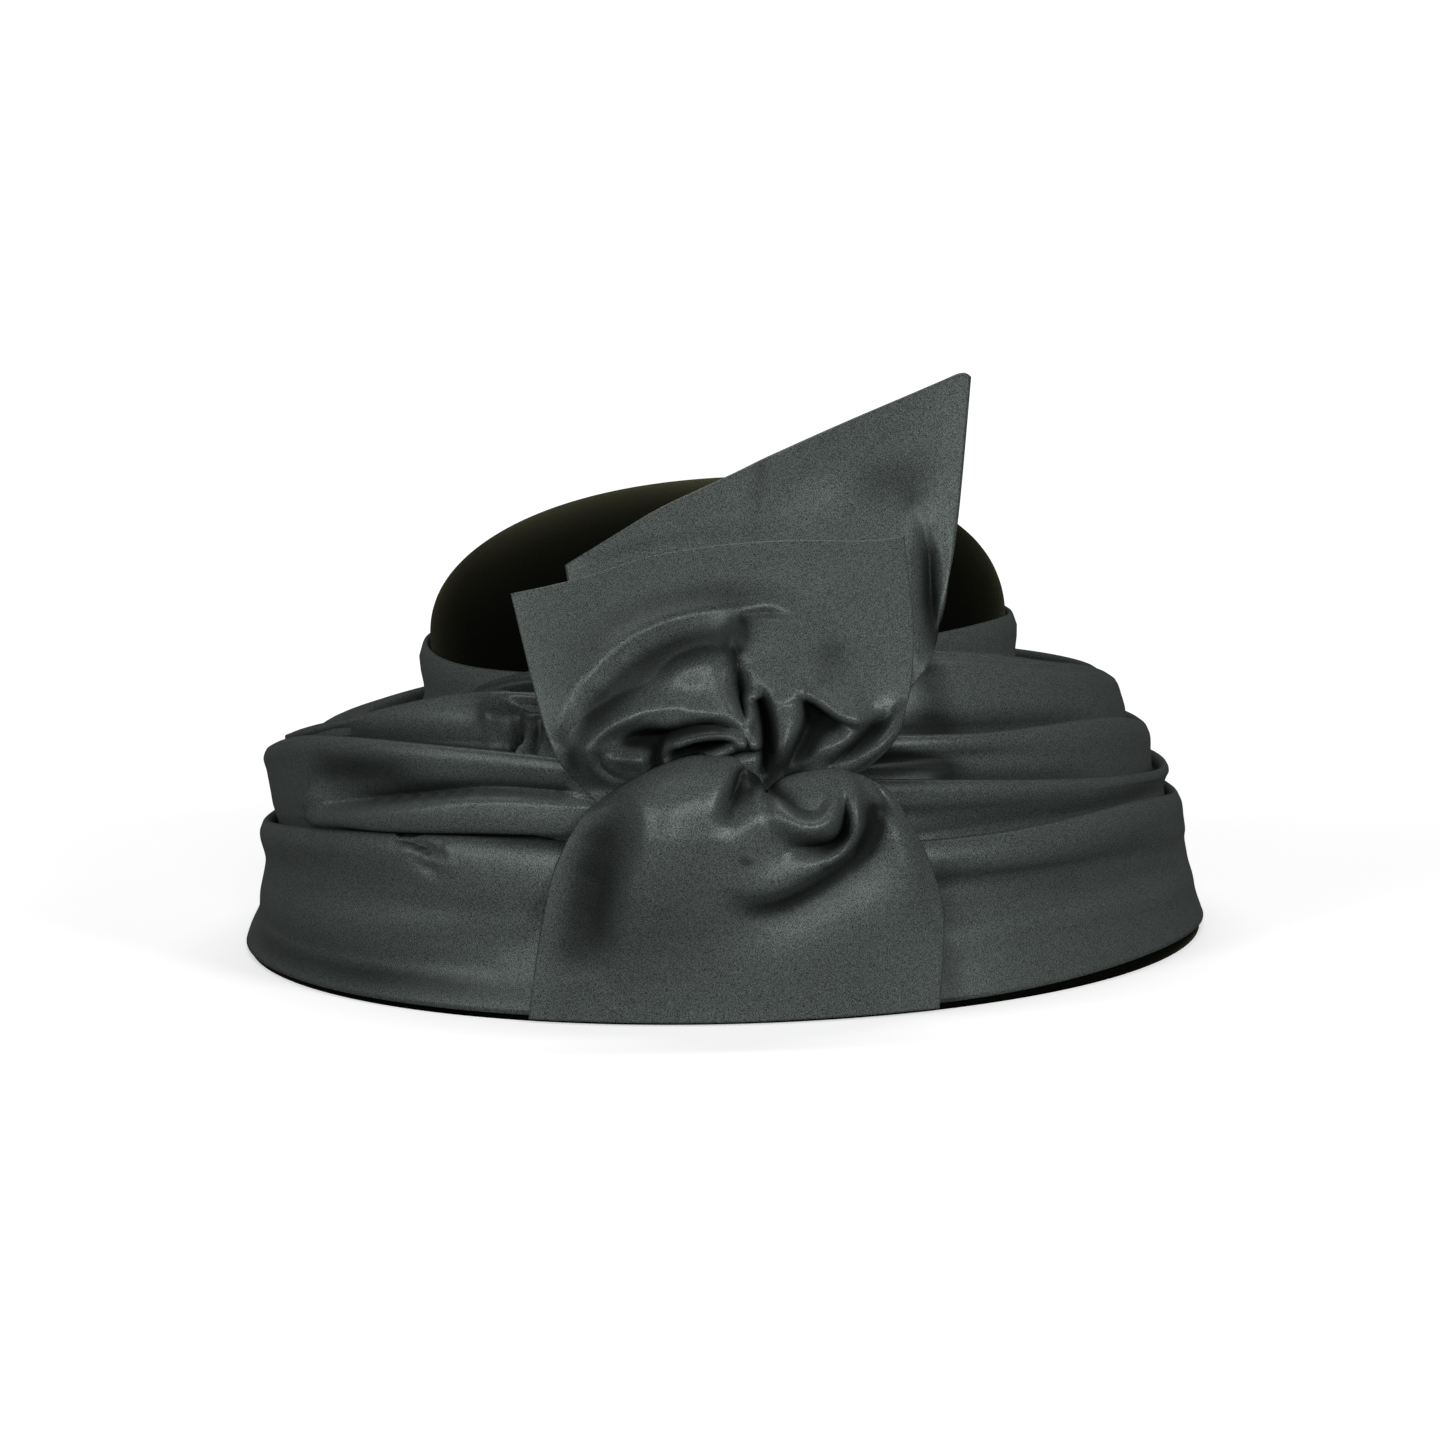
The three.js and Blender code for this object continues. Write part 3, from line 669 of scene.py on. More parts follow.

# %% [markdown]
# The second table has the same form, but it moves no cloth. Its depths only paint shade into the
# satin's colour through the hollow attribute, standing in for shade where the real layers lie closer
# together than the model's: painted shade under lips and in the pockets, and painted shadow beside
# the tails.

# %% Painted shades on the swathe
# painted shade and painted shadow only: these rows darken the satin's colour and move no cloth
SWATHE_PAINTED_SHADES = dict(
    shelf=[
        fold("shelf by the crown left", (4, 4), "-1.5 -4 -4.5 -4.5", "-46,81.5 -39,84 -34,86 -27,88"),
        fold("beside the tails right", (8, 8), "-4.2 -4.2 -3.4 -3.4", "28,93 29,86 29,80 28,73"),
        fold("foot of the shelf right", (4.5, 3.5), "-5 -4.4 -4 -3.4 -1.6",
             "22,73 32,73 42,72.3 50,70.8 60,68.5"),
    ],
    shoulder=[
        fold("by the knot right", (3, 3.5), "-5 -5 -3 -0.5", "17,71 22,68 28,65.5 35,64"),
        fold("behind the knot left", (6, 6), "-1 -3.4 -4.5 -4.5", "-38,83 -31,81 -26,78.5 -21,76"),
        fold("beside the knot right", (5, 5), "-6 -5.5 -2", "16,66.5 22,64.5 29,62.5"),
        fold("foot of the shoulder right", (4, 3.5), "-3.4 -3.4 -3 -1.6", "29,60.5 38,58.5 46,57 56,54.5"),
    ],
    upper_wall=[
        fold("upper wall left", (6, 6), "-1.5 -4.2 -4.8 -4.4 -2",
             "-62,60 -55,62.4 -48,63.6 -41,63.8 -36,63"),
        fold("gap left", (0.9, 3), "-3 -6 -6 -6", "-58,45.8 -46,47.4 -34,48.8 -20,49.6"),
        fold("under the knot right", (3, 3), "-2.2 -1.4 -0.5", "18,55 24,53.5 33,52"),
        fold("lip by the knot right", (4, 2), "-5 -3.5 -0.5", "16,61.5 23,60 30,58.5"),
        fold("over the extra pleat", (2.6, 1), "-1 -3 -4.2 -4.8", "-42,57.2 -34,60.2 -26,62 -19,61.8"),
    ],
    lower_wall=[
        fold("lip by the knot left", (2, 2.5), "-1 -3.5 -4.5", "-33,47.2 -26,47.6 -18,47.4"),
        fold("under the lip left", (4.5, 4.5), "-1.4 -1.7 -1", "-68,35 -55,38.5 -43,41.5"),
        fold("middle of the wall left", (4, 4), "-1 -1.7 -1.5 -1.7 -0.5",
             "-72,24 -60,27 -48,29 -36,29.5 -26,30"),
        fold("over the hem left", (4, 5), "-2 -3.4 -3.6 -4.2 -4.2 -2",
             "-80,8 -65,7.5 -50,7.5 -38,8 -29,8 -21,7.5"),
        fold("beside the lower tail right", (8, 8), "-2.4 -3.8 -4.2 -4.2 -3.6",
             "26,37 25.5,29 25,21 24.5,13 24.5,4"),
        fold("under the lip right", (4.5, 5), "-0.6 -2 -2.4 -1.6", "38,36 47,37 56,36.5 68,34"),
        fold("middle of the wall right", (3, 3.5), "-1 -1.7 -1.9 -1.4", "30,27 44,27 58,26 74,22"),
        fold("in the tuck", (1.1, 1), "-3 -4.5 -4.5 -3 -0.5",
             "-41,46.2 -38.5,45 -36.6,43.7 -35,42.2 -33,41.8"),
    ],
)
print("darkest shades:", {pleat: deepest(rows) for pleat, rows in SWATHE_PAINTED_SHADES.items()})

# %% [markdown]
# Now the strip is bent. The folds push it out or in along its own normal, angle by angle. To measure
# widths in millimetres, an angle is turned into a distance along the pleats' middle reach. The
# painted shade of a point is taken from the deeper of its fold and its row in the second table.

# %% Swathe
FOLD_REACH = 130.0


def fold_place(angle, height):
    return np.stack([np.radians(angle) * FOLD_REACH, height], axis=-1)


def pushed(table):
    place = fold_place(np.broadcast_to(angles[:, None], line.shape[:2]), line[..., 1])
    push = np.zeros(line.shape[:2])
    for pleat, folds in table.items():
        rows = np.array([name == pleat for name in row_names])
        for row in folds:
            path = fold_place(*np.array(row["path"], float).T)
            push[:, rows] += fold_height(place[:, rows], {**row, "path": path})
    return push


normals = np.gradient(line, axis=1)
normals = np.stack([-normals[..., 1], normals[..., 0]], axis=-1)
normals /= np.linalg.norm(normals, axis=-1, keepdims=True)
push = pushed(SWATHE_FOLDS)
# painted shade: the deeper of the real folds and the shade-only rows darkens the satin's colour
shade = np.minimum(push, pushed(SWATHE_PAINTED_SHADES))
shaped = line + normals * push[..., None]
swathe_grid = np.swapaxes(on_hat(angles[:, None], shaped[..., 0], shaped[..., 1]), 0, 1)
swathe = cloth("swathe_satin", swathe_grid, CLOTH, -shade.T, closed=True)
dress(swathe, "swathe", satin)
print(f"folds from {push.min():.2f} to {push.max():.2f} mm")

# %% [markdown]
# ## The three tails
# Each tail is a patch of satin stretched between four edges that are drawn as the viewer sees them,
# as distance across and height: its root, its end and its two sides. The patch is a Coons patch: it
# blends the two pairs of edges and takes away what both count twice, the corners. The lower tail's end
# is its top, rolled into the knot, with a notch where the knot pulls.

# %% Tail outlines
LOWER_TAIL = dict(
    root=pairs("-53.2,1 -34,1 0.8,0.9 22,1 57.1,1"),
    end=pairs("-32.5,59.9 -20.1,67.7 -9.3,71.8 -2.4,72.2 4.7,71.2 9,66.5 11.8,61.8 16.7,65.4 24,67.2 "
              "32,67.2 40.7,63.2 45.9,58.6"),
    left=pairs("-53.2,1 -50,21 -45.3,40.8 -38.1,54.5 -32.5,59.9"),
    right=pairs("57.1,1 58.5,17 58.3,29.5 53.5,44.4 45.9,58.6"),
)
UPPER_TAIL = dict(
    root=pairs("-33,58.9 -18,61 0,62 12,60 25,63 38,67.1"),
    end=pairs("-55.6,113.8 -37.7,117.6 -19.5,122.8 -0.8,125.4 20.9,126.3 41.5,125.5 51,126.2"),
    left=pairs("-33,58.9 -41.3,69 -45.4,76.6 -50.5,93.9 -55.6,113.8"),
    right=pairs("38,67.1 46.4,75.5 50.9,87.1 52.5,102.9 51,126.2"),
)
TALL_TAIL = dict(
    root=pairs("-12,61 8,62 28,63"),
    end=pairs("-41,120.3 -28.6,127.5 -15.4,134.9 0,141.5 29.1,153.8 61.3,166.1 68.6,168.6 71.2,167.4"),
    left=pairs("-12,61 -26,82 -37,102 -41,120.3"),
    right=pairs("28,63 49,84 57.4,94.1 61.9,109.4 66.2,131 71.2,167.4"),
)


def patch(tail, across, along):
    u = np.linspace(0, 1, across)[None, :, None]
    v = np.linspace(0, 1, along)[:, None, None]
    root = smooth_line(tail["root"], across)[None]
    end = smooth_line(tail["end"], across)[None]
    left = smooth_line(tail["left"], along)[:, None]
    right = smooth_line(tail["right"], along)[:, None]
    ruled = (1 - v) * root + v * end + (1 - u) * left + u * right
    low = (1 - v) * ((1 - u) * root[:, :1] + u * root[:, -1:])
    high = v * ((1 - u) * end[:, :1] + u * end[:, -1:])
    return ruled - low - high, u[..., 0], v[..., 0]


print("tails drawn: lower, upper, tall")

# %% [markdown]
# ## Folds of the lower tail
# The lower tail spreads from the knot like a skirt. Its left lobe swells over a long flank, dark from
# its hollow and from painted shade, a crease runs down from the notch, and on the right the cloth
# winds into a spiral: a lip, a second roll round it, and a hollow that curls under both. The tails'
# tables have paths of distance across and height. As on the swathe, the first table moves the cloth
# and the second one only paints shade into its colour.

# %% Folds of the lower tail
LOWER_FOLDS = [
    fold("crest of the left lobe", (20, 6), "2.5 4.5 5.5 5.5 5 3.5 1.5 0.3",
         "-21,69 -19,60 -19,51 -20.5,44.5 -23.5,38 -25.5,30 -26,22 -26,12"),
    fold("hollow left of the lobe", (6.5, 9), "-0.8 -2 -2.4 -2 -1.2 -0.2",
         "-30.5,58 -31.5,49 -33.5,40 -36,30 -37,21 -36,12"),
    fold("crease at the notch", (3, 3.8), "-5 -4.4 -2.6 -0.8 0",
         "9.8,66.5 6.5,61.8 3.4,57.6 1,54.5 -0.4,51.5"),
    fold("shadow side of the lobe", (2.6, 2), "-4.5 -4.5 -3 0", "4.5,68 2.6,63 1,58.5 0.2,55"),
    fold("lip of the spiral", (2.2, 5), "0.5 2 3.4 4.4 5 5 4.4 3 1",
         "9.8,63.6 13.5,60.4 17,57.9 20.2,56 23.5,55.2 26.6,55.9 28.7,58 29.4,60.8 28.8,63.4", crisp="left"),
    fold("hollow under the lip", (2.6, 2), "0 -2.6 -4.6 -5 -4.6 -3.6 -2.2 -0.5",
         "16,48.8 20.5,48 25,47.6 29.5,48.4 32.2,51 32.9,55 32.6,59 31.8,63"),
    fold("second roll", (3.2, 3.2), "1 3.2 4.6 5.2 5.2 4.2 2.5",
         "34.4,66.5 35,62 35.3,57.5 35.1,53 34,49.6 31.2,46.9 27.5,44.6", crisp="both"),
    fold("shelf of the second roll", (1.6, 6), "0.5 1.2 1.8 1.6 1.4 1 0.3",
         "33.6,48.8 30.6,46 26.5,43.6 21.5,41.3 16,38.8 10,37.4 4.5,37.6"),
    fold("hollow under the second roll", (9, 2.6), "-0.5 -1.4 -2 -2.4 -2.6 -2.6 -2.6 -2.4 -2.2 -1.8 -1 0",
         "40.2,61 41.3,56.5 40.8,52 38.3,47.3 34,43.3 29,40 24,37 19,34.3 14,32.5 9,32.2 4,34 0.5,36.5"),
    fold("rim of the skirt", (8, 4), "0.2 0.6 0.6 0.3 0 0 0 0 0 0",
         "40.5,61 43.6,56.5 43.8,51.5 41,46.4 36.5,42.2 30.5,38 24.5,34.4 18,31.6 11,30.4 4,31"),
    fold("crease by the right edge", (0.8, 0.8), "-0.6 -2 -0.3", "37.5,65.5 41.8,61 45.8,55"),
    fold("rim on the right", (6, 7), "0.2 1.2 2 2.2 1.6 0.4",
         "53,27 53,36 51,45 48.5,52.5 45.5,58.5 42,62.5"),
]
# painted shade only: these rows darken the satin's colour and move no cloth
LOWER_PAINTED_SHADES = [
    fold("left flank", (8.5, 12), "-1.8 -3 -3.4 -3.4 -3.4 -3 -1.4",
         "-30,60 -31,52 -32.5,44 -34,36 -36,28 -38.5,20 -40,11"),
    fold("under the lip", (2.4, 2.2), "-1.5 -4 -4.6 -4.4 -3", "18.5,48.6 23.5,48 28.5,48 32.2,51 32.8,56"),
    fold("behind the lip", (2.6, 1.2), "-4 -4 -3 -2.2 -1.5", "12.2,64.2 15.2,61.6 19,59 23,57.4 26.4,58.6"),
    fold("side of the lobe", (2.4, 2.6), "-4 -4 -2", "6,68 3.6,62 1.2,56.5"),
    fold("under the second roll", (4.2, 2.6), "-3 -4 -4.2 -4.2 -4 -3.2 -1",
         "41,55 37.5,46 30,40 20,34.6 12,32.2 5,33 1.5,37.5"),
    fold("dimple", (1.4, 1.6), "-1.8 -3.2 -1.6", "4,46.2 5.8,45.4 8,45.2"),
    fold("beside the second roll", (3, 3), "-1 -3.4 -3.8 -3", "37,60.5 39.4,56.5 39.8,52 37.5,47.5"),
    fold("inside the bulb", (3, 3), "-0.8 -1.6 -1.2", "20,63 24,61 27.5,62"),
]
print("lower tail:", len(LOWER_FOLDS), "folds, the deepest is the", deepest(LOWER_FOLDS))

# %% [markdown]
# ## Folds of the upper tail
# The upper tail fans out of the knot. A broad outer crest sweeps over it, a valley follows its inside,
# and below that an inner crest curls round a lump on the left. At the root lie a small tube with an
# open mouth, an arch of cloth over the knot's pit, and a sharp peak with a hollow under it.

# %% Folds of the upper tail
UPPER_FOLDS = [
    fold("outer crest", (24, 20), "1.5 4 6 6.8 7 6.5 5 2.5 0.3",
         "-45,77 -41.5,84 -37.5,91 -32,97.5 -26,102.5 -18,106.5 -9,109 1,110 10,110 17,109", crisp="both"),
    fold("crease at the end of the crest", (1.2, 1.6), "-0.5 -2 -0.5", "7,107.8 13,108 19,107"),
    fold("inner crest", (6.5, 7.5), "1.5 2.6 3.4 4 4.2 4 3.2 2.2 1.4 1.4 1.8 2.2",
         "-27.5,63.5 -32,67 -34.5,71 -35,75 -33,78.2 -29.5,80.8 -25,83 -20,84.6 -13,85.2 -5,84 1,82.3 "
         "6.5,80", crisp="both"),
    fold("dark behind the tube", (3.4, 2.6), "-2.5 -6 -7.5 -7 -5",
         "-27.5,76.2 -23,76.4 -18.5,76.4 -16.4,74 -16.2,71"),
    fold("line over the tube", (2.2, 0.8), "-5 -5 -4.5 -3.5 -2", "-15,77.2 -9,78.8 -2,79.5 4,78.8 8,77"),
    fold("crease under the lump", (1, 0.9), "-1 -1.8 -1.8 -1", "-33,73.5 -31.8,70 -28.8,67.4 -24.5,65.8"),
    fold("dark right of the lump", (1.6, 1.6), "-1.5 -4.5 -3.5", "-19.5,72.5 -18.3,69.5 -18.6,66.5"),
    fold("upper rim of the tube", (0.9, 1.2), "2 4.5 5 5 5 4.6 3.6 2",
         "-14.6,70.5 -14.9,73 -13,75.4 -9.5,77.1 -5,78 0,78.2 3.5,77.4 5.6,75.9"),
    fold("mouth of the tube", (2, 2.4), "-5 -7 -6.5 -3.5", "-11.5,73 -6,74.3 0,75 3,75.3"),
    fold("lower rim of the tube", (1, 1.2), "2.2 3.2 2.8 1", "5.6,75.7 3.2,74.5 0,73.2 -4,71.8"),
    fold("shadow under the tube", (0.9, 0.9), "-4 -4 -3.5 -2", "9.2,73.4 5.5,72.8 1.5,71.8 -2.5,70.8"),
    fold("end of the tube", (0.8, 0.8), "0.8 2 2.2 1.8", "2,79.6 6,78 8.6,76.2 9.4,74.6"),
    fold("bright face", (2.2, 6.5), "0.6 1.6 2.3 2.3 1.6", "-17,86 -13.5,91 -9.5,94.6 -4,96.2 1,95.6"),
    fold("edge of the bright face", (2.2, 7), "0.4 1.6 2.8 3.2 3",
         "1.6,95.2 0.7,91 1.5,87.3 3.4,84 5.6,80.8", crisp="both"),
    fold("hollow beside the arch", (3.6, 1), "-1.5 -4.5 -5 -4.5 -3", "4,96 4.2,92 4.8,88 5.8,84.5 6.6,82"),
    fold("arch", (0.8, 0.7), "2.5 3.2 4 4.6 5 4.6 3.5 1.5",
         "9.6,74.6 8.6,77 7.4,79.3 8,82.3 7.6,85 8.3,86.9 9.8,87.4 11.2,86.8"),
    fold("pit of the knot", (2.6, 1.3), "-5 -8 -8 -8 -7", "10.5,85.5 11.3,82 11.8,77.5 11.5,72.5 11,67.5"),
    fold("ridge beside the pit", (2.2, 1.4), "0.2 0.4 0.5 0.5 0.2",
         "17.5,86.5 16.8,81.5 15.6,76.5 14,71 12.6,66"),
    fold("peak", (14, 3.2), "1 3 4.5 4.5 3.6 2.2 0.3",
         "20.5,86.3 23.2,87 26,86 29,84 33,81.6 37,80.6 41,81", crisp="both"),
    fold("hollow under the peak", (6, 2.6), "-3 -5.5 -6 -5.5 -4.5",
         "23.6,85 24.2,81.5 22.8,77 20.2,72.5 17.6,68"),
    fold("hollow along the peak", (1, 3.5), "-2.5 -4.5 -4 -0.5", "25,84 28.2,81.6 32,79.6 35.5,78.8"),
    fold("right face", (2.6, 2.6), "0.8 1.4 1", "27,73 32,75 36.5,77.8"),
    fold("right hollow", (2, 3), "-1 -4.5 -4.5 -4.5 -3", "44.5,81 42,78.6 38,75.4 34,72 30,69.2"),
    fold("right strip", (1.5, 1.3), "0.5 2 2.4 2.4 1.5", "49,82 45.5,77 41.5,73.4 38,70.4 35,68.2"),
    fold("soft hollow right", (6, 6), "-0.4 -1.2 -0.6", "27,107 31,99 32,91"),
    fold("bright spot", (4, 4), "0.1 0.2", "13,103 17,107"),
    fold("soft hollow near the end", (7, 7), "-0.3 -0.7 -0.8 -0.5",
         "-43.4,97 -31.5,105 -13.5,112 4.4,114 17.8,112.5 27.4,110"),
]
# painted shade only: these rows darken the satin's colour and move no cloth
UPPER_PAINTED_SHADES = [
    fold("floor of the valley", (4.5, 6.5), "-2 -3.8 -4.2 -4.2 -4.2 -4 -3.8 -3.2 -1",
         "-38,77.5 -34.5,83.5 -28.5,89.5 -22,94.5 -15,98.6 -8,101.3 0,102.8 6,103.2 12,103.8"),
    fold("under the peak", (3.5, 2.6), "-1.5 -4 -4.5 -4 -3", "32,79.6 27,80.5 24,78.5 21,74 18,68.5"),
    fold("knot", (4.5, 1.5), "-4 -6 -6", "11.5,84 11.8,76 11,68"),
    fold("under the inner crest", (1.6, 2.6), "-2.5 -4 -3.5 -2.5", "-24,76.6 -17,77.4 -8,79 0,78.8"),
    fold("right of the bright face", (2.5, 1.2), "-2 -3.4 -3.4", "4.2,95 4.6,90 6,84.5"),
    fold("over the outer crest", (4.5, 4.5), "-1 -1.8 -2.1 -2.2 -2.2 -1.4 -0.5",
         "-36,100 -28,106 -18,110 -8,112.4 3,113 14,112.4 24,111"),
    fold("end of the valley", (3, 3), "-2.8 -3 -1.5", "5,106 5,101 4,97"),
    fold("right hollow", (2.5, 3.5), "-2 -3.2 -3.4 -2.6", "48,83 43,77.5 38,74 32,70.5"),
    fold("left lobe", (3, 3), "-0.8 -2 -2", "-44,84 -42,77 -39,71"),
    fold("inside the lump", (3, 3), "-1.8 -2.8 -2.6", "-32,72.8 -27,71 -20,70"),
    fold("soft place on the right", (6, 6), "-0.8 -2 -1.4", "30,104 30.5,98 29,92"),
]
print("upper tail:", len(UPPER_FOLDS), "folds, the deepest is the", deepest(UPPER_FOLDS))

# %% [markdown]
# ## Folds of the tall tail
# The tall tail is almost flat: a hollow along its right edge, a dent and a swell under its top edge.
# Two more folds only make room, so that the deep folds of the upper tail in front don't touch it.

# %% Folds of the tall tail
TALL_FOLDS = [
    fold("hollow by the right edge", (2.4, 3.6), "-1 -4.4 -5 -3.2", "57,130 58.2,120 58.4,107 59.2,98"),
    fold("dent under the top edge", (6, 6), "-1.1 -0.7", "12.9,146 9.5,132"),
    fold("swell under the top edge", (9, 9), "0.8 1.2 0", "18,140 28,144 40,148"),
    fold("room behind the tube", (8, 8), "-4 -6 -5", "-16,74 -6,76 4,76"),
    fold("room behind the upper tail", (9, 9), "-4 -5 -5 -6 -5", "-24,86 -10,95 8,92 13,80 24,77"),
]
# painted shade and painted shadow only: these rows darken the satin's colour and move no cloth
TALL_PAINTED_SHADES = [
    fold("place below the point", (7, 7), "-0.8 -1.8 -2 -1.2", "36,138 46,141 54,142 60,146"),
    fold("top of the right hollow", (4, 4), "-2 -1.6", "54,134 57,129"),
    fold("dent under the top edge", (2.6, 2.6), "-1.4 -1.8 -1", "13,148 12.5,140 11,133"),
    fold("behind the upper tail", (2.2, 2.2), "-1.4 -1.5 -1.3 -0.8", "-34,121.5 -19,126 0,128.2 16,128.2"),
]
print("tall tail:", len(TALL_FOLDS), "folds, the deepest is the", deepest(TALL_FOLDS))

# %% [markdown]
# ## Standing the tails on the hat
# An outline says where a tail is across and up. A second rule says how far it stands in front of the
# hat. The lower tail hangs on the front of the swathe, bulges under the knot and rolls back into it.
# The upright ones lean back over the crown, and their roots tuck in one behind the other. The folds
# are added to that. One number, FULLNESS, makes all of them fuller at once, and two passes of
# averaging take the sharpness off where they meet.

# %% Stand of each tail
FULLNESS = 1.5  # how far the tails' folds stand out, in heights of their tables
SOFT_PASSES = 2
TAIL = 1.4
SEAT_GAP = 0.4
SWATHE_HALF = 0.6
KNOT_HEIGHT = 62.0
KNOT_PROUD = 10.0
HANG_IN = 5.0
LOWER_ROLL = 11.0
ROLL_SHARE = 0.22
HEM_CALM = (2, 14)  # heights between which the folds start, so that the hem lies still
SIDE_CURL = 6.0
BULGE_POWER = 3
EDGE_POWER = 8
CURL_POWER = 4
FRONT = list(PLACES).index(0)
UPPER_WALL = next(pleat for pleat in PLEATS if pleat["name"] == "upper_wall")
LOWER_SEAT = HEM_REACH + SWATHE_HALF + SEAT_GAP + TAIL / 2
KNOT_SEAT = UPPER_WALL["reach"][FRONT] + SWATHE_HALF + SEAT_GAP + TAIL / 2


def softened(height):
    for _ in range(SOFT_PASSES):
        for axis in (0, 1):
            edged = np.pad(height, [(1, 1) if axis == k else (0, 0) for k in (0, 1)], mode="edge")
            before = np.take(edged, range(height.shape[axis]), axis)
            after = np.take(edged, range(2, height.shape[axis] + 2), axis)
            height = 0.25 * before + 0.5 * height + 0.25 * after
    return height


def tail_relief(place, folds):
    total = np.zeros(place.shape[:2])
    for row in folds:
        total += fold_height(place, row)
    return FULLNESS * softened(total)


def lower_stand(place, u, v, height):
    across = np.abs(2 * u - 1)
    middle = 1 - across**BULGE_POWER
    risen = smoothstep(0, KNOT_HEIGHT, place[..., 1])
    roll = np.clip((v - 1 + ROLL_SHARE) / ROLL_SHARE, 0, 1)
    level = np.sqrt(1 - roll * roll)
    back = LOWER_ROLL * (1 - level) * middle
    folds = height * (1 - across**EDGE_POWER) * smoothstep(*HEM_CALM, place[..., 1]) * level
    seat = LOWER_SEAT - HANG_IN * risen
    return oval_front(seat, place[..., 0]) + KNOT_PROUD * risen * middle - back + folds


def upright_stand(place, u, height, stand, lean, clear, seat):
    free = smoothstep(KNOT_HEIGHT, clear, place[..., 1])
    curl = free * SIDE_CURL * np.abs(2 * u - 1) ** CURL_POWER
    leaning = stand - lean * (place[..., 1] - KNOT_HEIGHT) - curl
    return free * (leaning + height) + (1 - free) * oval_front(seat, place[..., 0])


def upper_stand(place, u, v, height):
    seat = KNOT_SEAT + TAIL + SEAT_GAP
    return upright_stand(place, u, height, stand=160.0, lean=0.6, clear=76.0, seat=seat)


def tall_stand(place, u, v, height):
    return upright_stand(place, u, height, stand=148.5, lean=0.5, clear=84.0, seat=KNOT_SEAT)


print(f"seats: hem {LOWER_SEAT:.1f}, knot {KNOT_SEAT:.1f} mm from the middle")

# %% [markdown]
# With outlines, folds and rules at hand, the three tails are made by one loop. The grid of the tall
# tail may be coarser, because it has no fine folds.

# %% Tails
TAILS = [
    dict(node="lower_tail", outline=LOWER_TAIL, across=190, along=130, stand=lower_stand,
         folds=LOWER_FOLDS, painted_shades=LOWER_PAINTED_SHADES),
    dict(node="upper_tail", outline=UPPER_TAIL, across=190, along=140, stand=upper_stand,
         folds=UPPER_FOLDS, painted_shades=UPPER_PAINTED_SHADES),
    dict(node="tall_tail", outline=TALL_TAIL, across=110, along=110, stand=tall_stand,
         folds=TALL_FOLDS, painted_shades=TALL_PAINTED_SHADES),
]


def tail_piece(tail):
    place, u, v = patch(tail["outline"], tail["across"], tail["along"])
    height = tail_relief(place, tail["folds"])
    # painted shade: the deeper of the real folds and the shade-only rows darkens the satin's colour
    shade = np.minimum(height, tail_relief(place, tail["painted_shades"]))
    stand = tail["stand"](place, u, v, height)
    grid = np.stack([place[..., 0] + MIDDLE_X, MIDDLE_Y - stand, place[..., 1]], axis=-1) * MM
    piece = cloth(tail["node"] + "_satin", grid, TAIL, -shade)
    dress(piece, tail["node"], satin)
    return piece


lower_tail, upper_tail, tall_tail = [tail_piece(tail) for tail in TAILS]

# %% [markdown]
# ## The cloth's cut
# Cloth keeps its area when it is draped. The swathe's strip is as long as the hat is round and as
# wide as its zigzag unfolded; the tails are cut a little larger than they look, because the knot
# gathers them.

# %% Sheets
print("sheets: the swathe and three tails")

# %% [markdown]
# ## Floor
# The hat stands on a sweep of white paper that curves up behind it, so that no horizon shows. White
# paper all round would also throw so much light on the satin that its folds wash out. It is therefore
# hidden from the rays that light the hat, and glows a little by itself to stay white.

# %% Floor
PAPER_SIZE = 4.0
PAPER_BACK = 1.6
SWEEP_RADIUS = 0.8
SWEEP_STEPS = 24
PAPER_GLOW = 0.45
PAPER_SCALE = 9.0  # changes of the paper's tone in one metre
PAPER_DEEP = (0.86, 0.86, 0.86, 1.0)
PAPER_PALE = (0.90, 0.90, 0.90, 1.0)


def paper_sweep():
    turn = np.linspace(0, math.pi / 2, SWEEP_STEPS)
    back = PAPER_BACK + SWEEP_RADIUS
    run = np.concatenate([[-PAPER_SIZE], PAPER_BACK + SWEEP_RADIUS * np.sin(turn), [back]])
    rise = np.concatenate([[0.0], SWEEP_RADIUS * (1 - np.cos(turn)), [PAPER_SIZE]])
    side = np.array([-PAPER_SIZE, PAPER_SIZE])
    grid = np.stack(np.broadcast_arrays(side[None, :], run[:, None], rise[:, None]), axis=-1)
    return grid_piece("paper_sweep", grid)


def paper_finish():
    finish = Finish("paper")
    return finish.surface({
        "Base Color": finish.mix(finish.noise(PAPER_SCALE, detail=3.0), PAPER_DEEP, PAPER_PALE),
        "Roughness": 0.9,
        "Specular IOR Level": 0.1,
        "Emission Color": (1.0, 1.0, 1.0, 1.0),
        "Emission Strength": PAPER_GLOW,
    })


floor = paper_sweep()
floor.data.materials.append(paper_finish())
floor.visible_diffuse = False
floor.visible_glossy = False
print("floor faces:", len(floor.data.polygons))

# %% [markdown]
# ## Lamps
# Satin shines where its faces turn a lamp's light to the eye. The tails lean back and the pleats' faces
# stand upright, so low lamps in front and at both sides give the broad shine of the photograph, where
# one high lamp would only light the lips. Large soft lamps stand for the photographer's light boxes.
# The last one lights the paper behind the hat, and the world adds a breath of grey to the shadows.

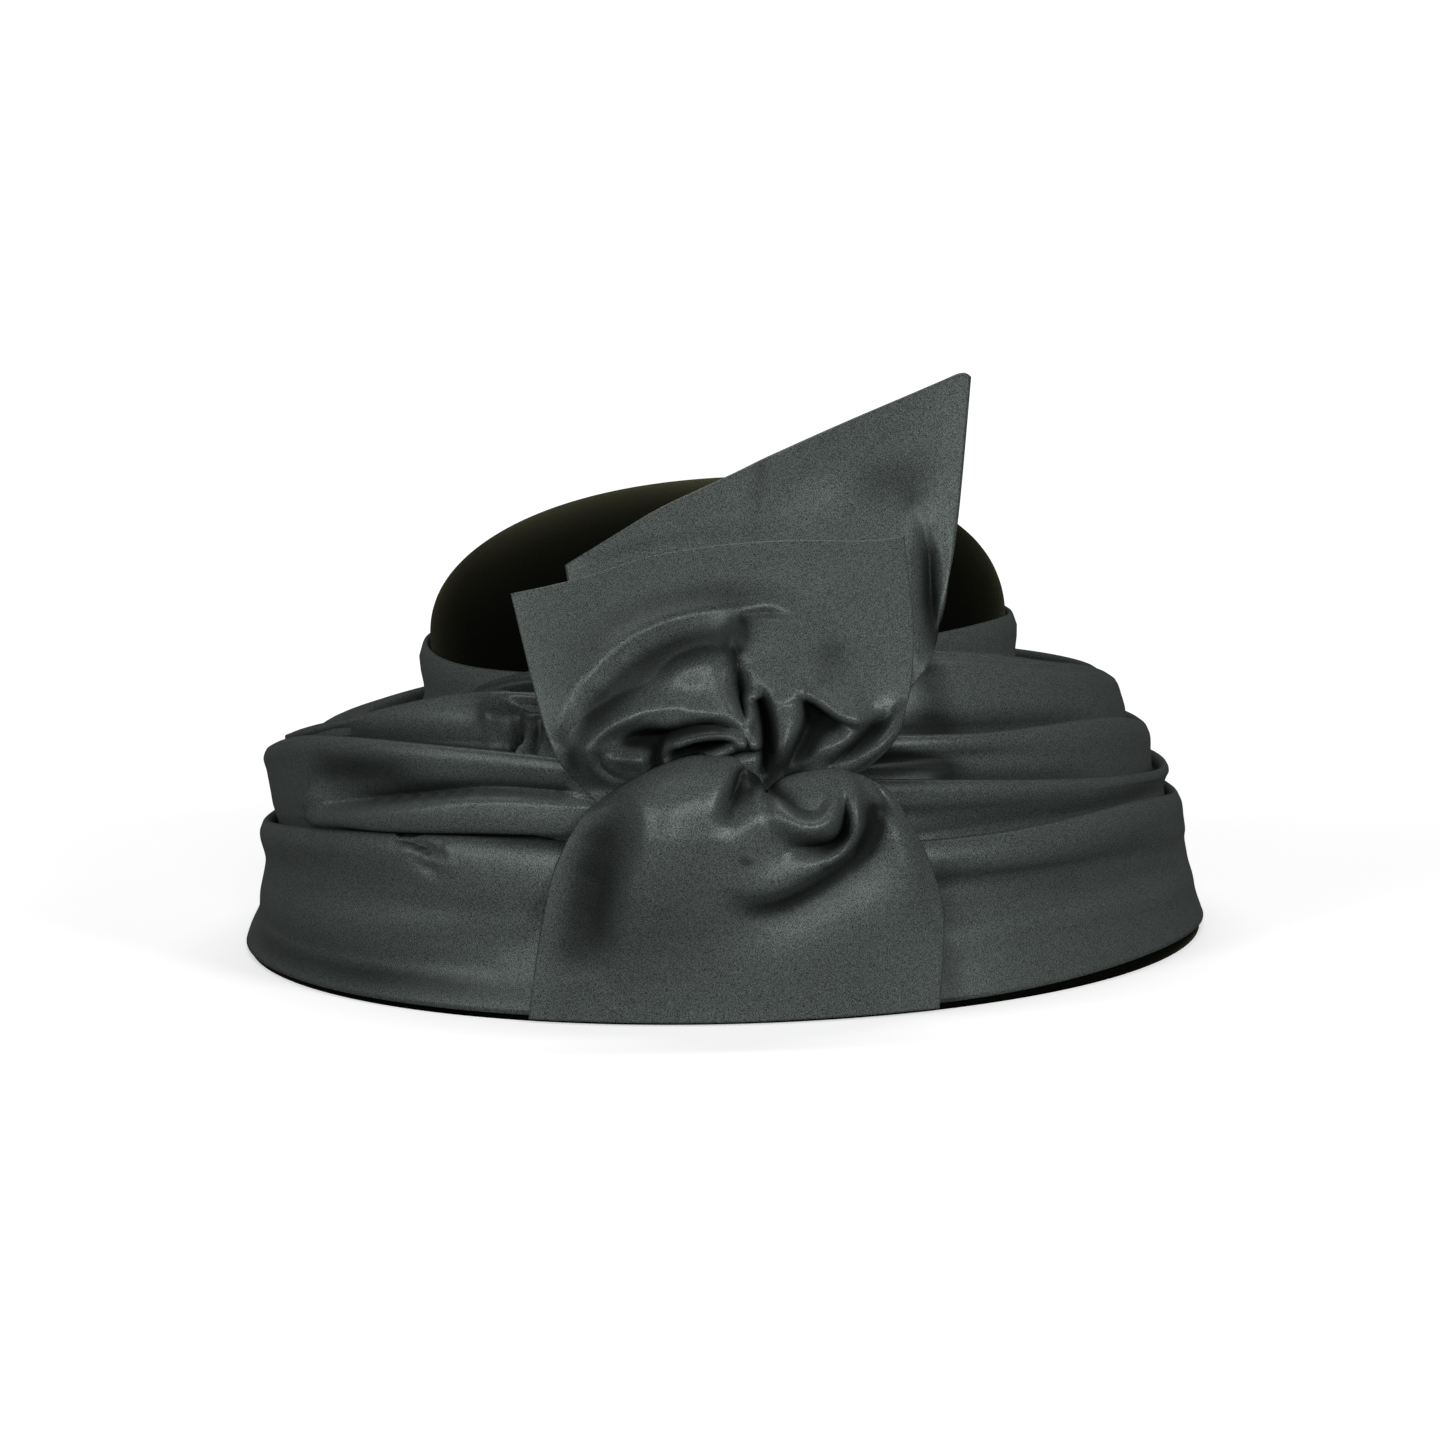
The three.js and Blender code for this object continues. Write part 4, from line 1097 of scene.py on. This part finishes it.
# %% Lamps
HAT_MIDDLE = (0.0, MIDDLE_Y * MM, 0.07)
PAPER_MIDDLE = (0.0, 2.2, 0.5)
LAMPS = [  # place and aim in metres, size in metres, power in watts
    dict(name="front_lamp", place=(0.1, -1.85, 0.6), aim=HAT_MIDDLE, size=(0.5, 0.5), power=10.6),
    dict(name="left_lamp", place=(-1.25, -1.5, 0.7), aim=HAT_MIDDLE, size=(0.5, 0.8), power=10.6),
    dict(name="far_left_lamp", place=(-1.8, -0.65, 0.7), aim=HAT_MIDDLE, size=(0.5, 0.8), power=6.9),
    dict(name="right_lamp", place=(1.25, -1.5, 0.7), aim=HAT_MIDDLE, size=(0.5, 0.8), power=19.0),
    dict(name="paper_lamp", place=(0.0, 0.9, 2.2), aim=PAPER_MIDDLE, size=(2.4, 0.6), power=40.0),
]
WORLD_TONE = (0.9, 0.92, 0.94, 1.0)
WORLD_STRENGTH = 0.06


def soft_lamp(name, place, aim, size, power):
    lamp = bpy.data.objects.new(name, bpy.data.lights.new(name, "AREA"))
    lamp.data.shape = "RECTANGLE"
    lamp.data.size, lamp.data.size_y = size
    lamp.data.energy = power
    lamp.location = place
    lamp.rotation_euler = (Vector(aim) - Vector(place)).to_track_quat("-Z", "Y").to_euler()
    bpy.context.scene.collection.objects.link(lamp)


for lamp in LAMPS:
    soft_lamp(**lamp)
world = bpy.data.worlds.new("studio")
world.use_nodes = True
world.node_tree.nodes["Background"].inputs["Color"].default_value = WORLD_TONE
world.node_tree.nodes["Background"].inputs["Strength"].default_value = WORLD_STRENGTH
bpy.context.scene.world = world
bpy.context.scene.view_settings.view_transform = "Standard"
print("lamps:", [lamp["name"] for lamp in LAMPS])

# %% [markdown]
# ## Camera
# The camera stands where the photographer stood: a little above the brim, well back with a long lens,
# and very slightly rolled. A lens could be found by trial, but it follows from the distance and from
# how many millimetres of the hat one pixel of the photograph covers.

# %% Camera
CAMERA_DISTANCE = 1.5
CAMERA_RISE = math.radians(7.5)
CAMERA_ROLL = math.radians(1.35)
AIM_HEIGHT = 0.062
MM_PER_PIXEL = 0.296
PICTURE = 1440
SENSOR = 36.0
camera = bpy.data.objects.new("camera", bpy.data.cameras.new("camera"))
bpy.context.scene.collection.objects.link(camera)
camera.data.sensor_width = SENSOR
camera.data.lens = SENSOR * CAMERA_DISTANCE / (PICTURE * MM_PER_PIXEL * MM)
aim = Vector((MIDDLE_X * MM, MIDDLE_Y * MM, AIM_HEIGHT))
camera.location = aim + CAMERA_DISTANCE * Vector((0, -math.cos(CAMERA_RISE), math.sin(CAMERA_RISE)))
look = (aim - camera.location).to_track_quat("-Z", "Y").to_matrix()
camera.rotation_euler = (look @ Matrix.Rotation(-CAMERA_ROLL, 3, "Z")).to_euler()
bpy.context.scene.camera = camera
print(f"lens {camera.data.lens:.1f} mm")
